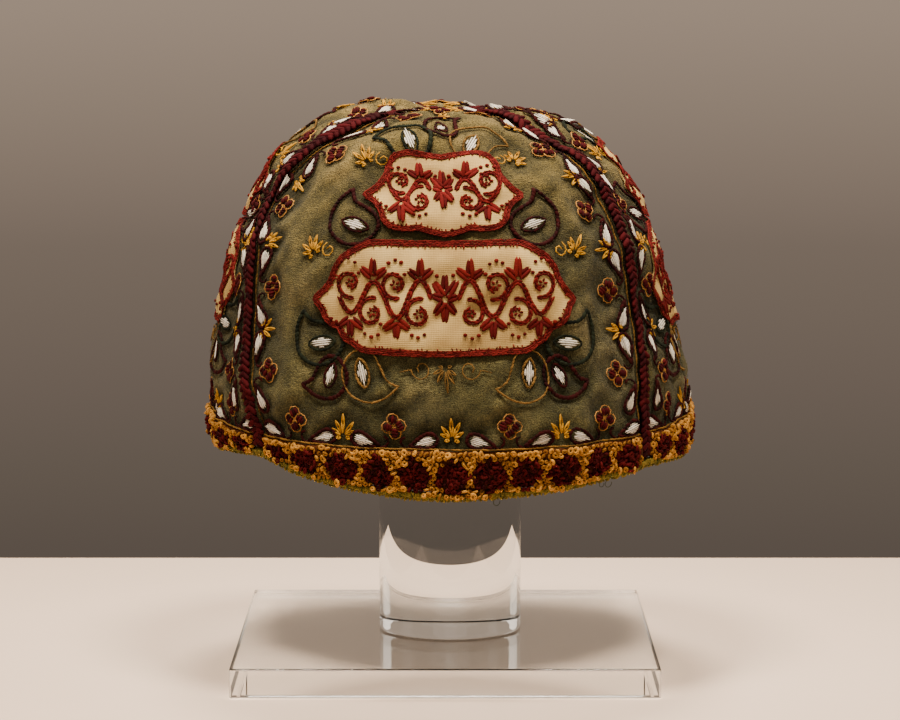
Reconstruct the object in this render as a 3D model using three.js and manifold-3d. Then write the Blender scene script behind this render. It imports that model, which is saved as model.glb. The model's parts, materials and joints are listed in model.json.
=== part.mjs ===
// A dervish cap of padded wool: four panels, braided seams, a knotted band, a bound hem and
// two cloth cartouches on each panel, resting on a clear stand.
// Millimetres, +Z up, the front towards -Y. The origin is under the plate, on the column's axis.
import * as THREE from "three";
import { mergeVertices } from "three/addons/utils/BufferGeometryUtils.js";
import Module from "manifold-3d";

const wasm = await Module();
wasm.setup();

// Driving dimensions of the fit between pieces
const CLEARANCE = 0.3; // gap between pieces that touch

// Driving dimensions of the stand
const PLATE_SIDE = 150;
const PLATE_THICKNESS = 10.5;
const PLATE_SHIFT = -1.7; // plate's middle, to the left of the column's axis
const PLATE_BEVEL = 0.6;
const COLUMN_DIAMETER = 52;
const COLUMN_BEVEL = 0.5;
const COLUMN_SIDES = 64;
const BAND_ABOVE_PLATE = 84; // top of the plate to the line where the band begins

// Driving dimensions of the cap's cloth
const RIM_RADIUS = 86.5; // outside of the cloth at the band line
const CROWN_HEIGHT = 107.6; // band line to the crown's flat top
const PANEL_WALL = 3; // wool, padding and backing together
const RIM_DIP = 6.2; // how much lower the front of the rim hangs than its sides
const LEAN = 1.7; // how far the body sits to the left of the rim
const TOP_LEAN = 1.9; // and the top to the left of the body
const CORNER_SWELL = 3.9; // how far the plan stands out at the four seams
const SKIRT_TUCK = 1.5; // how far the hem draws in below the band line
const HEM_DEPTH = 17.3; // band line to the lowest point of the hem
const TIP_RADIUS = 1.2; // where the panels' points stop short of the middle of the top

// Driving dimensions of the trim
const GROOVE_DEPTH = 1.6; // how deep the panels are drawn in along a seam
const GROOVE_WIDTH = 6; // from the seam to the full height of a panel
const BRAID_WIDTH = 4;
const BRAID_THICKNESS = 2.6;
const BAND_THICKNESS = 1.6;
const HEM_HEIGHT = 3;
const CARTOUCHE_CLOTH = 1;
const LARGE_WIDTH = 90.4;
const LARGE_HEIGHT = 35.2;
const LARGE_RISE = 31.7; // band line to the large cartouche, along the cloth
const SMALL_WIDTH = 55;
const SMALL_HEIGHT = 30.8;
const CARTOUCHE_GAP = 2.9; // between the large cartouche and the small one above it

// Section through the cloth from the rim to the middle of the top.
// rise is a share of the crown's height, reach a share of the rim's radius.
const SECTION = [
  { rise: 0, reach: 1 },
  { rise: 0.14, reach: 0.991 },
  { rise: 0.3, reach: 0.95 },
  { rise: 0.45, reach: 0.908 },
  { rise: 0.6, reach: 0.864 },
  { rise: 0.74, reach: 0.768 },
  { rise: 0.84, reach: 0.68 },
  { rise: 0.92, reach: 0.572 },
  { rise: 0.97, reach: 0.458 },
  { rise: 0.992, reach: 0.34 },
  { rise: 1, reach: 0.235 },
  { rise: 1, reach: 0 },
];

// The panels, and the seam at the right of each. Each drop is a share of the hem's depth,
// at the panel's middle and at the seam. side is the way from the seam to its side panel.
// middle turns the cartouches to their place, in degrees from the front, and
// spread narrows them on the narrower panels.
const PANELS = [
  { name: "front", drop: 1, seam: "front_right", seamDrop: 0.66, side: 1, middle: 0, spread: 1 },
  { name: "right", drop: 0.86, seam: "back_right", seamDrop: 0.55, side: -1, middle: 90.5, spread: 0.82 },
  { name: "back", drop: 0.9, seam: "back_left", seamDrop: 0.55, side: 1, middle: 180, spread: 1 },
  { name: "left", drop: 0.66, seam: "front_left", seamDrop: 0.43, side: -1, middle: 267.5, spread: 0.78 },
];

// How far the seams bend into their side panels, in degrees, in even steps
// from the band line to the middle of the top
const SEAM_BENDS = [
  { front_right: 4, back_right: 2, back_left: 4, front_left: 3 },
  { front_right: 5.5, back_right: 4, back_left: 5.5, front_left: 7 },
  { front_right: 7.5, back_right: 6, back_left: 7.5, front_left: 10 },
  { front_right: 8, back_right: 7, back_left: 8, front_left: 12.5 },
  { front_right: 7.5, back_right: 6.5, back_left: 7.5, front_left: 17 },
  { front_right: 6.5, back_right: 4, back_left: 6.5, front_left: 7 },
  { front_right: 2, back_right: 1.5, back_left: 2, front_left: -2 },
  { front_right: 0.5, back_right: 0, back_left: 0.5, front_left: -2 },
  { front_right: 0, back_right: 0, back_left: 0, front_left: 0 },
];

// Soft dents that handling has left in the cloth.
// turn counts panels round from the front's middle, up is a share of the cloth's length,
// spread and width are shares of the rim's radius, depth of the wall.
const DENTS = [
  { turn: 0, up: 0.421, spread: 0.36, width: 0.06, depth: 0.45 },
  { turn: 0.28, up: 0.6, spread: 0.09, width: 0.11, depth: 0.6 },
  { turn: -0.33, up: 0.68, spread: 0.1, width: 0.08, depth: 0.45 },
  { turn: 1.05, up: 0.42, spread: 0.3, width: 0.07, depth: 0.5 },
  { turn: 2.1, up: 0.5, spread: 0.28, width: 0.09, depth: 0.6 },
  { turn: 1.8, up: 0.2, spread: 0.16, width: 0.14, depth: 0.4 },
  { turn: 2.95, up: 0.43, spread: 0.3, width: 0.07, depth: 0.5 },
];

// Half of each cartouche's outline, from its top middle round the right side to its bottom middle.
// across is a share of half its width, up a share of its height.
const LARGE_OUTLINE = [
  { across: 0, up: 0.99 },
  { across: 0.53, up: 1 },
  { across: 0.69, up: 0.92 },
  { across: 0.84, up: 0.74 },
  { across: 1, up: 0.46 },
  { across: 0.92, up: 0.31 },
  { across: 0.8, up: 0.22 },
  { across: 0.69, up: 0.08 },
  { across: 0.575, up: 0.015 },
  { across: 0, up: 0 },
];
const SMALL_OUTLINE = [
  { across: 0, up: 0.935 },
  { across: 0.36, up: 1 },
  { across: 0.58, up: 0.97 },
  { across: 0.71, up: 0.72 },
  { across: 1, up: 0.44 },
  { across: 0.78, up: 0.26 },
  { across: 0.69, up: 0.1 },
  { across: 0.33, up: 0.08 },
  { across: 0, up: 0 },
];

// The mesh of a panel: columns as shares of its half width, rows as shares of the cloth's length
const HALF_COLUMNS = [0.18, 0.36, 0.54, 0.72, 0.88, 0.955, 1];
const COLUMNS = [...HALF_COLUMNS.map((share) => -share).reverse(), 0, ...HALF_COLUMNS];
const ROWS = [0, 0.1, 0.2, 0.3, 0.37, 0.415, 0.46, 0.53, 0.6, 0.66, 0.72, 0.78, 0.84, 0.9, 0.95];

const BAND_COLUMNS = COLUMNS.filter((share) => Math.abs(share) !== HALF_COLUMNS.at(-2));

// Where the cap's shape changes, as shares of the crown's height
const LEAN_END = 0.3; // the body leans over below this height
const TOP_START = 0.62; // and the top above this one

// A band's levels down its skirt: depth is a share of the skirt, fullness of the band's thickness
const BAND_LEVELS = [
  { depth: 1, fullness: 0.6 },
  { depth: 0.7, fullness: 1 },
  { depth: 0.3, fullness: 1 },
  { depth: 0, fullness: 0.6 },
];

// A braid's point at the top: shares of its width and thickness
const BRAID_POINT = { short: 0.75, width: 0.45, height: 0.6 };

const SQUARE_TURN = Math.PI / 2; // from one panel's middle to the next
const SECTION_SIDES = 8; // sides of a braid's section and of the hem's
const NUDGE = 0.02; // step for measuring a slope, in mm and in radians

const plateTop = PLATE_THICKNESS;
const bandLine = plateTop + BAND_ABOVE_PLATE;
const section = new THREE.CatmullRomCurve3(
  SECTION.map(({ rise, reach }) => new THREE.Vector3(reach * RIM_RADIUS, rise * CROWN_HEIGHT)),
);
section.arcLengthDivisions = 600;
const clothLength = section.getLength();
const tipUp = clothLength - TIP_RADIUS;
const bandProud = CLEARANCE + BAND_THICKNESS; // outside of the band, over the cloth

const ease = (x) => THREE.MathUtils.smoothstep(x, 0, 1);
const sectionAt = (up) => section.getPointAt(THREE.MathUtils.clamp(up / clothLength, 0, 1));
const reachAt = (up) => sectionAt(up).x;

const panelOf = (number) => PANELS[THREE.MathUtils.euclideanModulo(number, PANELS.length)];

const seamCurves = new Map(
  PANELS.map(({ seam }) => [
    seam,
    new THREE.SplineCurve(SEAM_BENDS.map((row, step) => new THREE.Vector2(step, row[seam]))),
  ]),
);

// Azimuth of the seam at the right of a panel
function seamAzimuth(panel, up) {
  const { seam, side } = panelOf(panel);
  const bend = seamCurves.get(seam).getPoint(THREE.MathUtils.clamp(up / clothLength, 0, 1)).y;
  return (panel + 0.5) * SQUARE_TURN + side * THREE.MathUtils.degToRad(bend);
}

// The hem's drop below the band line: a shallow scallop on each panel
function hemDrop(azimuth) {
  const turn = THREE.MathUtils.euclideanModulo(azimuth, 2 * Math.PI);
  const panel = PANELS.filter((_, number) => turn > seamAzimuth(number, 0)).length;
  const left = seamAzimuth(panel - 1, 0);
  const right = seamAzimuth(panel, 0);
  const across = (2 * turn - left - right) / (right - left);
  const seamDrop = panelOf(across < 0 ? panel - 1 : panel).seamDrop;
  return HEM_DEPTH * (seamDrop + (panelOf(panel).drop - seamDrop) * Math.cos((Math.PI / 2) * across));
}

// How far the dents draw the cloth in at a place
function dentAt(azimuth, up) {
  let depth = 0;
  for (const dent of DENTS) {
    const turned = azimuth - dent.turn * SQUARE_TURN;
    const across = Math.atan2(Math.sin(turned), Math.cos(turned)) * reachAt(up);
    const sideways = across / (dent.spread * RIM_RADIUS);
    const upwards = (up - dent.up * clothLength) / (dent.width * RIM_RADIUS);
    depth += dent.depth * PANEL_WALL * Math.exp(-sideways * sideways - upwards * upwards);
  }
  return depth;
}

// A point on the outside of the cloth. azimuth turns from the front towards +X, and
// up is measured along the cloth from the band line, below it when negative.
function onCloth(azimuth, up) {
  const below = Math.min(up, 0);
  const { x: bodyReach, y: bodyRise } = sectionAt(Math.max(up, 0));
  const reach = bodyReach + (SKIRT_TUCK * below) / hemDrop(azimuth);
  const height = bodyRise / CROWN_HEIGHT;
  const swell = CORNER_SWELL * (reach / RIM_RADIUS) * ease((2 * reach) / RIM_RADIUS);
  const radius = reach + (swell * (1 - Math.cos(4 * azimuth))) / 2 - dentAt(azimuth, up);
  const topLean = TOP_LEAN * ease((height - TOP_START) / (1 - TOP_START));
  const lean = LEAN * ease(height / LEAN_END) + topLean;
  const dip = RIM_DIP * Math.cos(azimuth) * (reach / RIM_RADIUS) * (1 - ease(height));
  return new THREE.Vector3(
    radius * Math.sin(azimuth) - lean,
    -radius * Math.cos(azimuth),
    bandLine + bodyRise + below - dip,
  );
}

// The direction straight out of the cloth at a place
function outward(azimuth, up) {
  const across = onCloth(azimuth + NUDGE, up).sub(onCloth(azimuth - NUDGE, up));
  const along = onCloth(azimuth, up + NUDGE).sub(onCloth(azimuth, up - NUDGE));
  return across.cross(along).normalize();
}

// A point that stands proud of the cloth, or inside it when proud is negative
function overCloth(azimuth, up, proud) {
  return onCloth(azimuth, up).addScaledVector(outward(azimuth, up), proud);
}

// Azimuth at a share of a panel's half width, with its edges kept clear of the seams by inset
function panelAzimuth(panel, share, up, inset) {
  const left = seamAzimuth(panel - 1, up);
  const right = seamAzimuth(panel, up);
  const half = (right - left) / 2 - inset / reachAt(up);
  return (left + right) / 2 + share * half;
}

// Length along the cloth from the band line down to where the panels and the band stop
const skirtUp = (azimuth) => -(hemDrop(azimuth) - HEM_HEIGHT - CLEARANCE);

// How far the cloth is drawn in at a distance from a seam
const grooveAt = (distance) => GROOVE_DEPTH * (1 - ease(distance / GROOVE_WIDTH));

// A geometry from points and corner numbers
function meshOf(points, index) {
  const geometry = new THREE.BufferGeometry().setFromPoints(points);
  geometry.setIndex(index);
  geometry.computeVertexNormals();
  return geometry;
}

// Two triangles for a quad whose corners run anticlockwise as seen from outside
function addQuad(index, a, b, c, d) {
  index.push(a, b, c, a, c, d);
}

// A closed wall between an outer and an inner grid of points, given as rows from the bottom up
function wallBetween(outer, inner) {
  const rows = outer.length;
  const columns = outer[0].length;
  const last = columns - 1;
  const top = rows - 1;
  const out = (row, column) => row * columns + column;
  const back = (row, column) => (rows + row) * columns + column;
  const index = [];
  for (let row = 0; row < top; row++) {
    const next = row + 1;
    for (let column = 0; column < last; column++) {
      const beside = column + 1;
      addQuad(index, out(row, column), out(row, beside), out(next, beside), out(next, column));
      addQuad(index, back(row, column), back(next, column), back(next, beside), back(row, beside));
    }
    addQuad(index, out(row, 0), out(next, 0), back(next, 0), back(row, 0));
    addQuad(index, out(row, last), back(row, last), back(next, last), out(next, last));
  }
  for (let column = 0; column < last; column++) {
    const beside = column + 1;
    addQuad(index, back(0, column), back(0, beside), out(0, beside), out(0, column));
    addQuad(index, out(top, column), out(top, beside), back(top, beside), back(top, column));
  }
  return meshOf([...outer.flat(), ...inner.flat()], index);
}

// A tube through sections of as many points each, closed on itself or with flat ends
function tubeThrough(sections, closed) {
  const sides = sections[0].length;
  const spans = closed ? sections.length : sections.length - 1;
  const at = (row, side) => (row % sections.length) * sides + (side % sides);
  const index = [];
  for (let row = 0; row < spans; row++) {
    for (let side = 0; side < sides; side++) {
      addQuad(index, at(row, side), at(row, side + 1), at(row + 1, side + 1), at(row + 1, side));
    }
  }
  for (let side = 1; !closed && side < sides - 1; side++) {
    const top = sections.length - 1;
    index.push(at(0, 0), at(0, side + 1), at(0, side));
    index.push(at(top, 0), at(top, side), at(top, side + 1));
  }
  return meshOf(sections.flat(), index);
}

// The corners of a rounded section, as distances from its middle
function sectionCorners(halfWidth, halfHeight) {
  const flat = Math.cos(Math.PI / SECTION_SIDES);
  return Array.from({ length: SECTION_SIDES }, (_, side) => {
    const angle = ((side + 0.5) * 2 * Math.PI) / SECTION_SIDES;
    return { wide: (halfWidth * Math.cos(angle)) / flat, high: (halfHeight * Math.sin(angle)) / flat };
  });
}

// Up positions of a panel's rows at an azimuth, from its lower edge to its point
function rowsAt(azimuth) {
  return [skirtUp(azimuth), ...ROWS.map((share) => share * clothLength), tipUp];
}

// Rows of points over a panel, at a height over the cloth given for each column and row
function panelGrid(panel, proudOf) {
  const rows = ROWS.length + 2;
  return Array.from({ length: rows }, (_, row) =>
    COLUMNS.map((share) => {
      const level = rowsAt(panelAzimuth(panel, share, 0, CLEARANCE / 2))[row];
      const azimuth = panelAzimuth(panel, share, level, CLEARANCE / 2);
      return overCloth(azimuth, level, proudOf(share, level));
    }),
  );
}

// Distance from a column of a panel to the nearer seam
function seamDistance(panel, share, up) {
  const half = (seamAzimuth(panel, up) - seamAzimuth(panel - 1, up)) / 2;
  return (1 - Math.abs(share)) * half * reachAt(up);
}

function panelGeometry(panel) {
  const face = (share, up) => -grooveAt(seamDistance(panel, share, up));
  const outer = panelGrid(panel, face);
  const inner = panelGrid(panel, (share, up) => face(share, up) - PANEL_WALL);
  return wallBetween(outer, inner);
}

// The knotted band on a panel's skirt, a little thinner at its two edges and clear of the braids
function bandGeometry(panel) {
  const gridAt = (proudOf) =>
    BAND_LEVELS.map(({ depth, fullness }) =>
      BAND_COLUMNS.map((share) => {
        const inset = Math.abs(share) === 1 ? BRAID_WIDTH / 2 + CLEARANCE : CLEARANCE / 2;
        const azimuth = panelAzimuth(panel, share, 0, inset);
        return overCloth(azimuth, depth * skirtUp(azimuth), proudOf(fullness));
      }),
    );
  const outer = gridAt((fullness) => CLEARANCE + BAND_THICKNESS * fullness);
  return wallBetween(outer, gridAt(() => CLEARANCE));
}

// The braid that covers the seam at the right of a panel, drawn in to a point near the top
function braidGeometry(panel) {
  const seamUps = rowsAt(seamAzimuth(panel, 0)).slice(0, -1);
  const end = { ...BRAID_POINT, up: clothLength - BRAID_POINT.short * BRAID_WIDTH };
  const stations = [...seamUps.map((up) => ({ up, width: 1, height: 1 })), end];
  const floor = CLEARANCE * 2 - GROOVE_DEPTH;
  const place = (up) => onCloth(seamAzimuth(panel, up), up);
  return tubeThrough(
    stations.map(({ up, width, height }) => {
      const out = outward(seamAzimuth(panel, up), up);
      const along = place(up + NUDGE).sub(place(up - NUDGE));
      const across = along.clone().cross(out).normalize();
      const half = (height * BRAID_THICKNESS) / 2;
      const middle = place(up).addScaledVector(out, floor + half);
      return sectionCorners((width * BRAID_WIDTH) / 2, half).map((corner) =>
        middle.clone().addScaledVector(across, -corner.wide).addScaledVector(out, corner.high),
      );
    }),
    false,
  );
}

// The bound hem: one ring under the edges of the panels and of the band
function hemGeometry() {
  const halfWidth = (PANEL_WALL + bandProud) / 2;
  const corners = sectionCorners(halfWidth, HEM_HEIGHT / 2);
  const azimuths = PANELS.flatMap((_, panel) =>
    COLUMNS.slice(0, -1).map((share) => panelAzimuth(panel, share, 0, 0)),
  );
  return tubeThrough(
    azimuths.map((azimuth) => {
      const level = -(hemDrop(azimuth) - HEM_HEIGHT / 2);
      const out = outward(azimuth, level);
      const middle = overCloth(azimuth, level, bandProud - halfWidth);
      const down = onCloth(azimuth, level - NUDGE).sub(onCloth(azimuth, level + NUDGE)).normalize();
      return corners.map((corner) =>
        middle.clone().addScaledVector(out, corner.wide).addScaledVector(down, corner.high),
      );
    }),
    true,
  );
}

const solidOf = (geometry) => {
  const bare = new THREE.BufferGeometry().setAttribute("position", geometry.getAttribute("position"));
  bare.setIndex(geometry.index);
  const merged = mergeVertices(bare);
  return new wasm.Manifold(
    new wasm.Mesh({
      numProp: 3,
      vertProperties: merged.attributes.position.array,
      triVerts: new Uint32Array(merged.index.array),
    }),
  );
};

function geometryOf(solid) {
  const { vertProperties, triVerts } = solid.getMesh();
  const geometry = new THREE.BufferGeometry();
  geometry.setAttribute("position", new THREE.BufferAttribute(vertProperties, 3));
  geometry.setIndex(new THREE.BufferAttribute(triVerts, 1));
  geometry.computeVertexNormals();
  return geometry;
}

// A block with a cartouche's outline that passes through the cloth of a panel
function cutterGeometry(panel, { width, height, rise, outline }) {
  const left = outline.slice(1, -1).map(({ across, up }) => ({ across: -across, up })).reverse();
  const loop = [...outline, ...left].reverse(); // anticlockwise as seen from outside
  const standOut = 0.3 * width; // past the bulge of the cloth between far corners
  const middle = THREE.MathUtils.degToRad(PANELS[panel].middle);
  const places = loop.map(({ across, up }) => {
    const level = rise + up * height;
    const sideways = (across * PANELS[panel].spread * width) / 2;
    return { azimuth: middle + sideways / reachAt(level), level };
  });
  const contour = loop.map(({ across, up }) => new THREE.Vector2(across * width, up * height));
  const outer = places.map(({ azimuth, level }) => overCloth(azimuth, level, standOut));
  const inner = places.map(({ azimuth, level }) => overCloth(azimuth, level, -PANEL_WALL));
  const index = [];
  const count = loop.length;
  for (const [a, b, c] of THREE.ShapeUtils.triangulateShape(contour, [])) {
    index.push(a, b, c, count + a, count + c, count + b);
  }
  for (let side = 0; side < count; side++) {
    const next = (side + 1) % count;
    addQuad(index, count + side, count + next, next, side);
  }
  return meshOf([...outer, ...inner], index);
}

// A cartouche: a layer of cloth over the panel, cut to the outline
function cartoucheGeometry(panel, cartouche) {
  const flat = (grid) => grid.slice(1, -1).map((row) => row.slice(2, -2));
  const outer = flat(panelGrid(panel, () => CLEARANCE + CARTOUCHE_CLOTH));
  const inner = flat(panelGrid(panel, () => CLEARANCE));
  return geometryOf(solidOf(wallBetween(outer, inner)).intersect(solidOf(cutterGeometry(panel, cartouche))));
}

const CARTOUCHES = [
  { name: "large", width: LARGE_WIDTH, height: LARGE_HEIGHT, rise: LARGE_RISE, outline: LARGE_OUTLINE },
  {
    name: "small",
    width: SMALL_WIDTH,
    height: SMALL_HEIGHT,
    rise: LARGE_RISE + LARGE_HEIGHT + CARTOUCHE_GAP,
    outline: SMALL_OUTLINE,
  },
];

// The plate, a square slab with its edges eased
function plateGeometry() {
  const half = PLATE_SIDE / 2 - PLATE_BEVEL;
  const square = new THREE.Shape();
  square.moveTo(-half, -half).lineTo(half, -half).lineTo(half, half).lineTo(-half, half).closePath();
  const geometry = new THREE.ExtrudeGeometry(square, {
    depth: PLATE_THICKNESS - 2 * PLATE_BEVEL,
    bevelThickness: PLATE_BEVEL,
    bevelSize: PLATE_BEVEL,
    bevelSegments: 1,
  });
  return geometry.translate(PLATE_SHIFT, 0, PLATE_BEVEL);
}

// Underside of the crown: the lowest point of the panels over the column
function crownUnderside() {
  const reach = COLUMN_DIAMETER / 2 + CLEARANCE;
  const height = BAND_ABOVE_PLATE + 2 * CROWN_HEIGHT;
  const over = wasm.Manifold.cylinder(height, reach, reach, COLUMN_SIDES).translate(0, 0, plateTop);
  const heights = PANELS.map((_, panel) => {
    return solidOf(panelGeometry(panel)).intersect(over).boundingBox().min[2];
  });
  return Math.min(...heights);
}

// The column, a solid rod with its two edges eased
function columnGeometry() {
  const radius = COLUMN_DIAMETER / 2;
  const bottom = plateTop + CLEARANCE;
  const top = crownUnderside() - CLEARANCE;
  const profile = [
    new THREE.Vector2(0, bottom),
    new THREE.Vector2(radius - COLUMN_BEVEL, bottom),
    new THREE.Vector2(radius, bottom + COLUMN_BEVEL),
    new THREE.Vector2(radius, top - COLUMN_BEVEL),
    new THREE.Vector2(radius - COLUMN_BEVEL, top),
    new THREE.Vector2(0, top),
  ];
  return new THREE.LatheGeometry(profile, COLUMN_SIDES).rotateX(Math.PI / 2);
}

const MATERIALS = {
  wool: new THREE.MeshStandardMaterial({ color: 0x6b5f36, roughness: 0.95 }),
  cream: new THREE.MeshStandardMaterial({ color: 0xc9a878, roughness: 0.9 }),
  braid: new THREE.MeshStandardMaterial({ color: 0x5e1218, roughness: 0.85 }),
  band: new THREE.MeshStandardMaterial({ color: 0xa8742a, roughness: 0.85 }),
  hem: new THREE.MeshStandardMaterial({ color: 0x8a8434, roughness: 0.85 }),
  acrylic: new THREE.MeshStandardMaterial({
    color: 0xeef2f0,
    roughness: 0.03,
    transparent: true,
    opacity: 0.3,
  }),
};

const cap = new THREE.Group();

function addPiece(name, geometry, material) {
  const mesh = new THREE.Mesh(geometry, material);
  mesh.name = name;
  cap.add(mesh);
}

PANELS.forEach(({ name, seam }, panel) => {
  addPiece("panel_" + name, panelGeometry(panel), MATERIALS.wool);
  addPiece("band_" + name, bandGeometry(panel), MATERIALS.band);
  addPiece("seam_braid_" + seam, braidGeometry(panel), MATERIALS.braid);
  for (const cartouche of CARTOUCHES) {
    const label = "cartouche_" + cartouche.name + "_" + name;
    addPiece(label, cartoucheGeometry(panel, cartouche), MATERIALS.cream);
  }
});
addPiece("hem_edge", hemGeometry(), MATERIALS.hem);
addPiece("stand_column", columnGeometry(), MATERIALS.acrylic);
addPiece("stand_plate", plateGeometry(), MATERIALS.acrylic);

export default cap;
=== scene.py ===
# %% [markdown]
# # A dervish cap on its clear stand
# The real cap is sewn from four padded wool panels. Braids cover the seams, a band of knotted
# thread runs above a bound hem, and each panel carries cut cloth, satin drops and chain stitch.
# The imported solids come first. They hold the true sizes, and every piece below is laid on them.

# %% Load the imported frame
import json
import math

import bmesh
import bpy
import numpy as np
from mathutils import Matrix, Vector, kdtree
from mathutils.geometry import delaunay_2d_cdt

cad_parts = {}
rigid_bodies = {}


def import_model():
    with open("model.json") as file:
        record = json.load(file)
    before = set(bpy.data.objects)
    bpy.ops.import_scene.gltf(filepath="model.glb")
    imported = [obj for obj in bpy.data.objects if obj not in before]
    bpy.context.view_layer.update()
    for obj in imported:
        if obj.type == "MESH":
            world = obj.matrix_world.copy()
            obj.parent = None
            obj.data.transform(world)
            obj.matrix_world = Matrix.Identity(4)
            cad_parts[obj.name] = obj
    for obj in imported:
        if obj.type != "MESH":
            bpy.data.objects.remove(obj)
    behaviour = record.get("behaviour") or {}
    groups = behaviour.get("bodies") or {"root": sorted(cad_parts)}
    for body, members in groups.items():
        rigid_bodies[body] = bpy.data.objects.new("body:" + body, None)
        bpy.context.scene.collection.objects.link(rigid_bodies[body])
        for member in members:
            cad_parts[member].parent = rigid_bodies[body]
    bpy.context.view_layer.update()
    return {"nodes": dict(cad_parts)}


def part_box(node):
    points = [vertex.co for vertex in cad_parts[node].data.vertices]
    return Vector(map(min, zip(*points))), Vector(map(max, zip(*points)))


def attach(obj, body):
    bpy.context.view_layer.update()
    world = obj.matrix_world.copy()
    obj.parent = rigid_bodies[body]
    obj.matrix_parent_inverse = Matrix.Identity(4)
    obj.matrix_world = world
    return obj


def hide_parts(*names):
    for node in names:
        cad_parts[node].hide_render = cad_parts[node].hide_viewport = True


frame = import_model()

print("nodes in the frame:", len(frame["nodes"]))

# %% [markdown]
# ## The camera and the lamps
# The camera stands where the photographer stood: a long lens, a little above the hem and tipped
# down by less than seven degrees. Large soft lamps keep the shadows of the thread work gentle.

# %% Camera and lamps
MM = 0.001
LENS = 132.5
CAMERA_PLACE = (0.0, -1.2027, 0.2495)
CAMERA_TILT = math.radians(90 - 6.633)
CAP_MIDDLE = Vector((0, 0, 0.14))
WARM = (1.0, 0.9, 0.78)
# name, place, size in metres, power in watts
LAMPS = [("lamp_over_left", (-0.3, -0.3, 1.3), 0.3, 20), ("lamp_over_right", (0.3, -0.3, 1.3), 0.3, 20),
         ("lamp_over_back", (0.0, 0.42, 1.3), 0.3, 18)]
for index, (x, y) in enumerate(((0.0, -1.7), (1.4, 1.0), (-1.4, 1.0), (1.7, -0.5), (-1.7, -0.5))):
    LAMPS.append(("lamp_fill_%d" % index, (x, y, 0.7), 0.9, 2.5))

scene = bpy.context.scene
camera = bpy.data.objects.new("camera", bpy.data.cameras.new("camera"))
camera.data.lens = LENS
camera.location = CAMERA_PLACE
camera.rotation_euler = (CAMERA_TILT, 0, 0)
scene.collection.objects.link(camera)
scene.camera = camera

for name, place, size, power in LAMPS:
    lamp = bpy.data.objects.new(name, bpy.data.lights.new(name, "AREA"))
    lamp.data.shape = "DISK"
    lamp.data.size = size
    lamp.data.energy = power
    lamp.data.color = WARM
    lamp.location = place
    lamp.rotation_euler = (CAP_MIDDLE - Vector(place)).to_track_quat("-Z", "Y").to_euler()
    scene.collection.objects.link(lamp)
print("lamps:", len(LAMPS))


# %% [markdown]
# ## Node trees as recipes
# Materials, the room and the stitches are all trees of nodes. This helper adds a node, sets it and
# links it in one step, so each tree below reads like a recipe.

# %% A helper for node trees
def linear(red, green, blue):
    """A colour that is given as it looks on a screen, 0 to 255, as Blender's linear light."""
    shares = (red / 255, green / 255, blue / 255)
    return tuple(((c + 0.055) / 1.055) ** 2.4 if c > 0.04 else c / 12.92 for c in shares)


def grey(level):
    return (level, level, level)


class Graph:
    """A short way to fill a node tree."""

    def __init__(self, tree):
        self.tree = tree

    def add(self, kind, links=None, **settings):
        """A node with settings, whose inputs named in links are linked or set."""
        node = self.tree.nodes.new(kind)
        for key, value in settings.items():
            setattr(node, key, value)
        for key, value in (links or {}).items():
            self.put(node.inputs[key], value)
        return node

    def put(self, socket, value):
        if isinstance(value, bpy.types.NodeSocket):
            self.tree.links.new(value, socket)
        else:
            socket.default_value = value

    def ramp(self, factor, *stops):
        """Colours along a factor: stops are (position, colour)."""
        node = self.add("ShaderNodeValToRGB", {"Fac": factor})
        elements = node.color_ramp.elements
        while len(elements) < len(stops):
            elements.new(0.5)
        for element, (position, colour) in zip(elements, stops):
            element.position = position
            element.color = (*colour, 1.0)
        return node.outputs["Color"]


# %% [markdown]
# ## The room
# The room falls away to warm grey, which gives the clear stand something to bend.

# %% The room
# heights of the sight line, from looking down to looking up, and the colour of the room there
ROOM = [(-0.3, (80, 71, 63)), (-0.17, (93, 83, 74)), (-0.08, (121, 107, 95)), (-0.01, (161, 142, 125)),
        (0.1, (182, 161, 142)), (0.5, (146, 130, 115))]
LOWEST, HIGHEST = ROOM[0][0], ROOM[-1][0]

world = bpy.data.worlds.new("studio")
world.use_nodes = True
room = Graph(world.node_tree)
sight = room.add("ShaderNodeTexCoord").outputs["Generated"]
height = room.add("ShaderNodeSeparateXYZ", {0: sight}).outputs["Z"]
share = room.add("ShaderNodeMapRange", {"Value": height, "From Min": LOWEST, "From Max": HIGHEST})
stops = [((level - LOWEST) / (HIGHEST - LOWEST), linear(*colour)) for level, colour in ROOM]
room.put(world.node_tree.nodes["Background"].inputs["Color"], room.ramp(share.outputs["Result"], *stops))
scene.world = world


# %% [markdown]
# ## Materials and pieces
# Every finish starts from a Principled shader. Every piece but the floor rides on the one body of
# the part.

# %% Helpers for materials and pieces
class Finish(Graph):
    """A node material: self.shader is its Principled shader."""

    def __init__(self, name, roughness):
        self.material = bpy.data.materials.new(name)
        self.material.use_nodes = True
        super().__init__(self.material.node_tree)
        self.shader = self.tree.nodes["Principled BSDF"]
        self.set("Roughness", roughness)

    def set(self, key, value):
        self.put(self.shader.inputs[key], value)

    def place(self):
        return self.add("ShaderNodeTexCoord").outputs["Object"]

    def noise(self, where, scale, detail):
        links = {"Vector": where, "Scale": scale, "Detail": detail}
        return self.add("ShaderNodeTexNoise", links).outputs["Fac"]

    def mix(self, factor, first, second, blend="MIX"):
        links = {"Factor": factor, 6: first, 7: second}
        return self.add("ShaderNodeMix", links, data_type="RGBA", blend_type=blend).outputs[2]

    def tint(self, tone, factor, *stops):
        """A tone times the colours along a factor."""
        return self.mix(1.0, tone, self.ramp(factor, *stops), "MULTIPLY")

    def bump(self, height, strength, distance):
        links = {"Height": height, "Strength": strength, "Distance": distance}
        self.set("Normal", self.add("ShaderNodeBump", links).outputs["Normal"])


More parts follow.
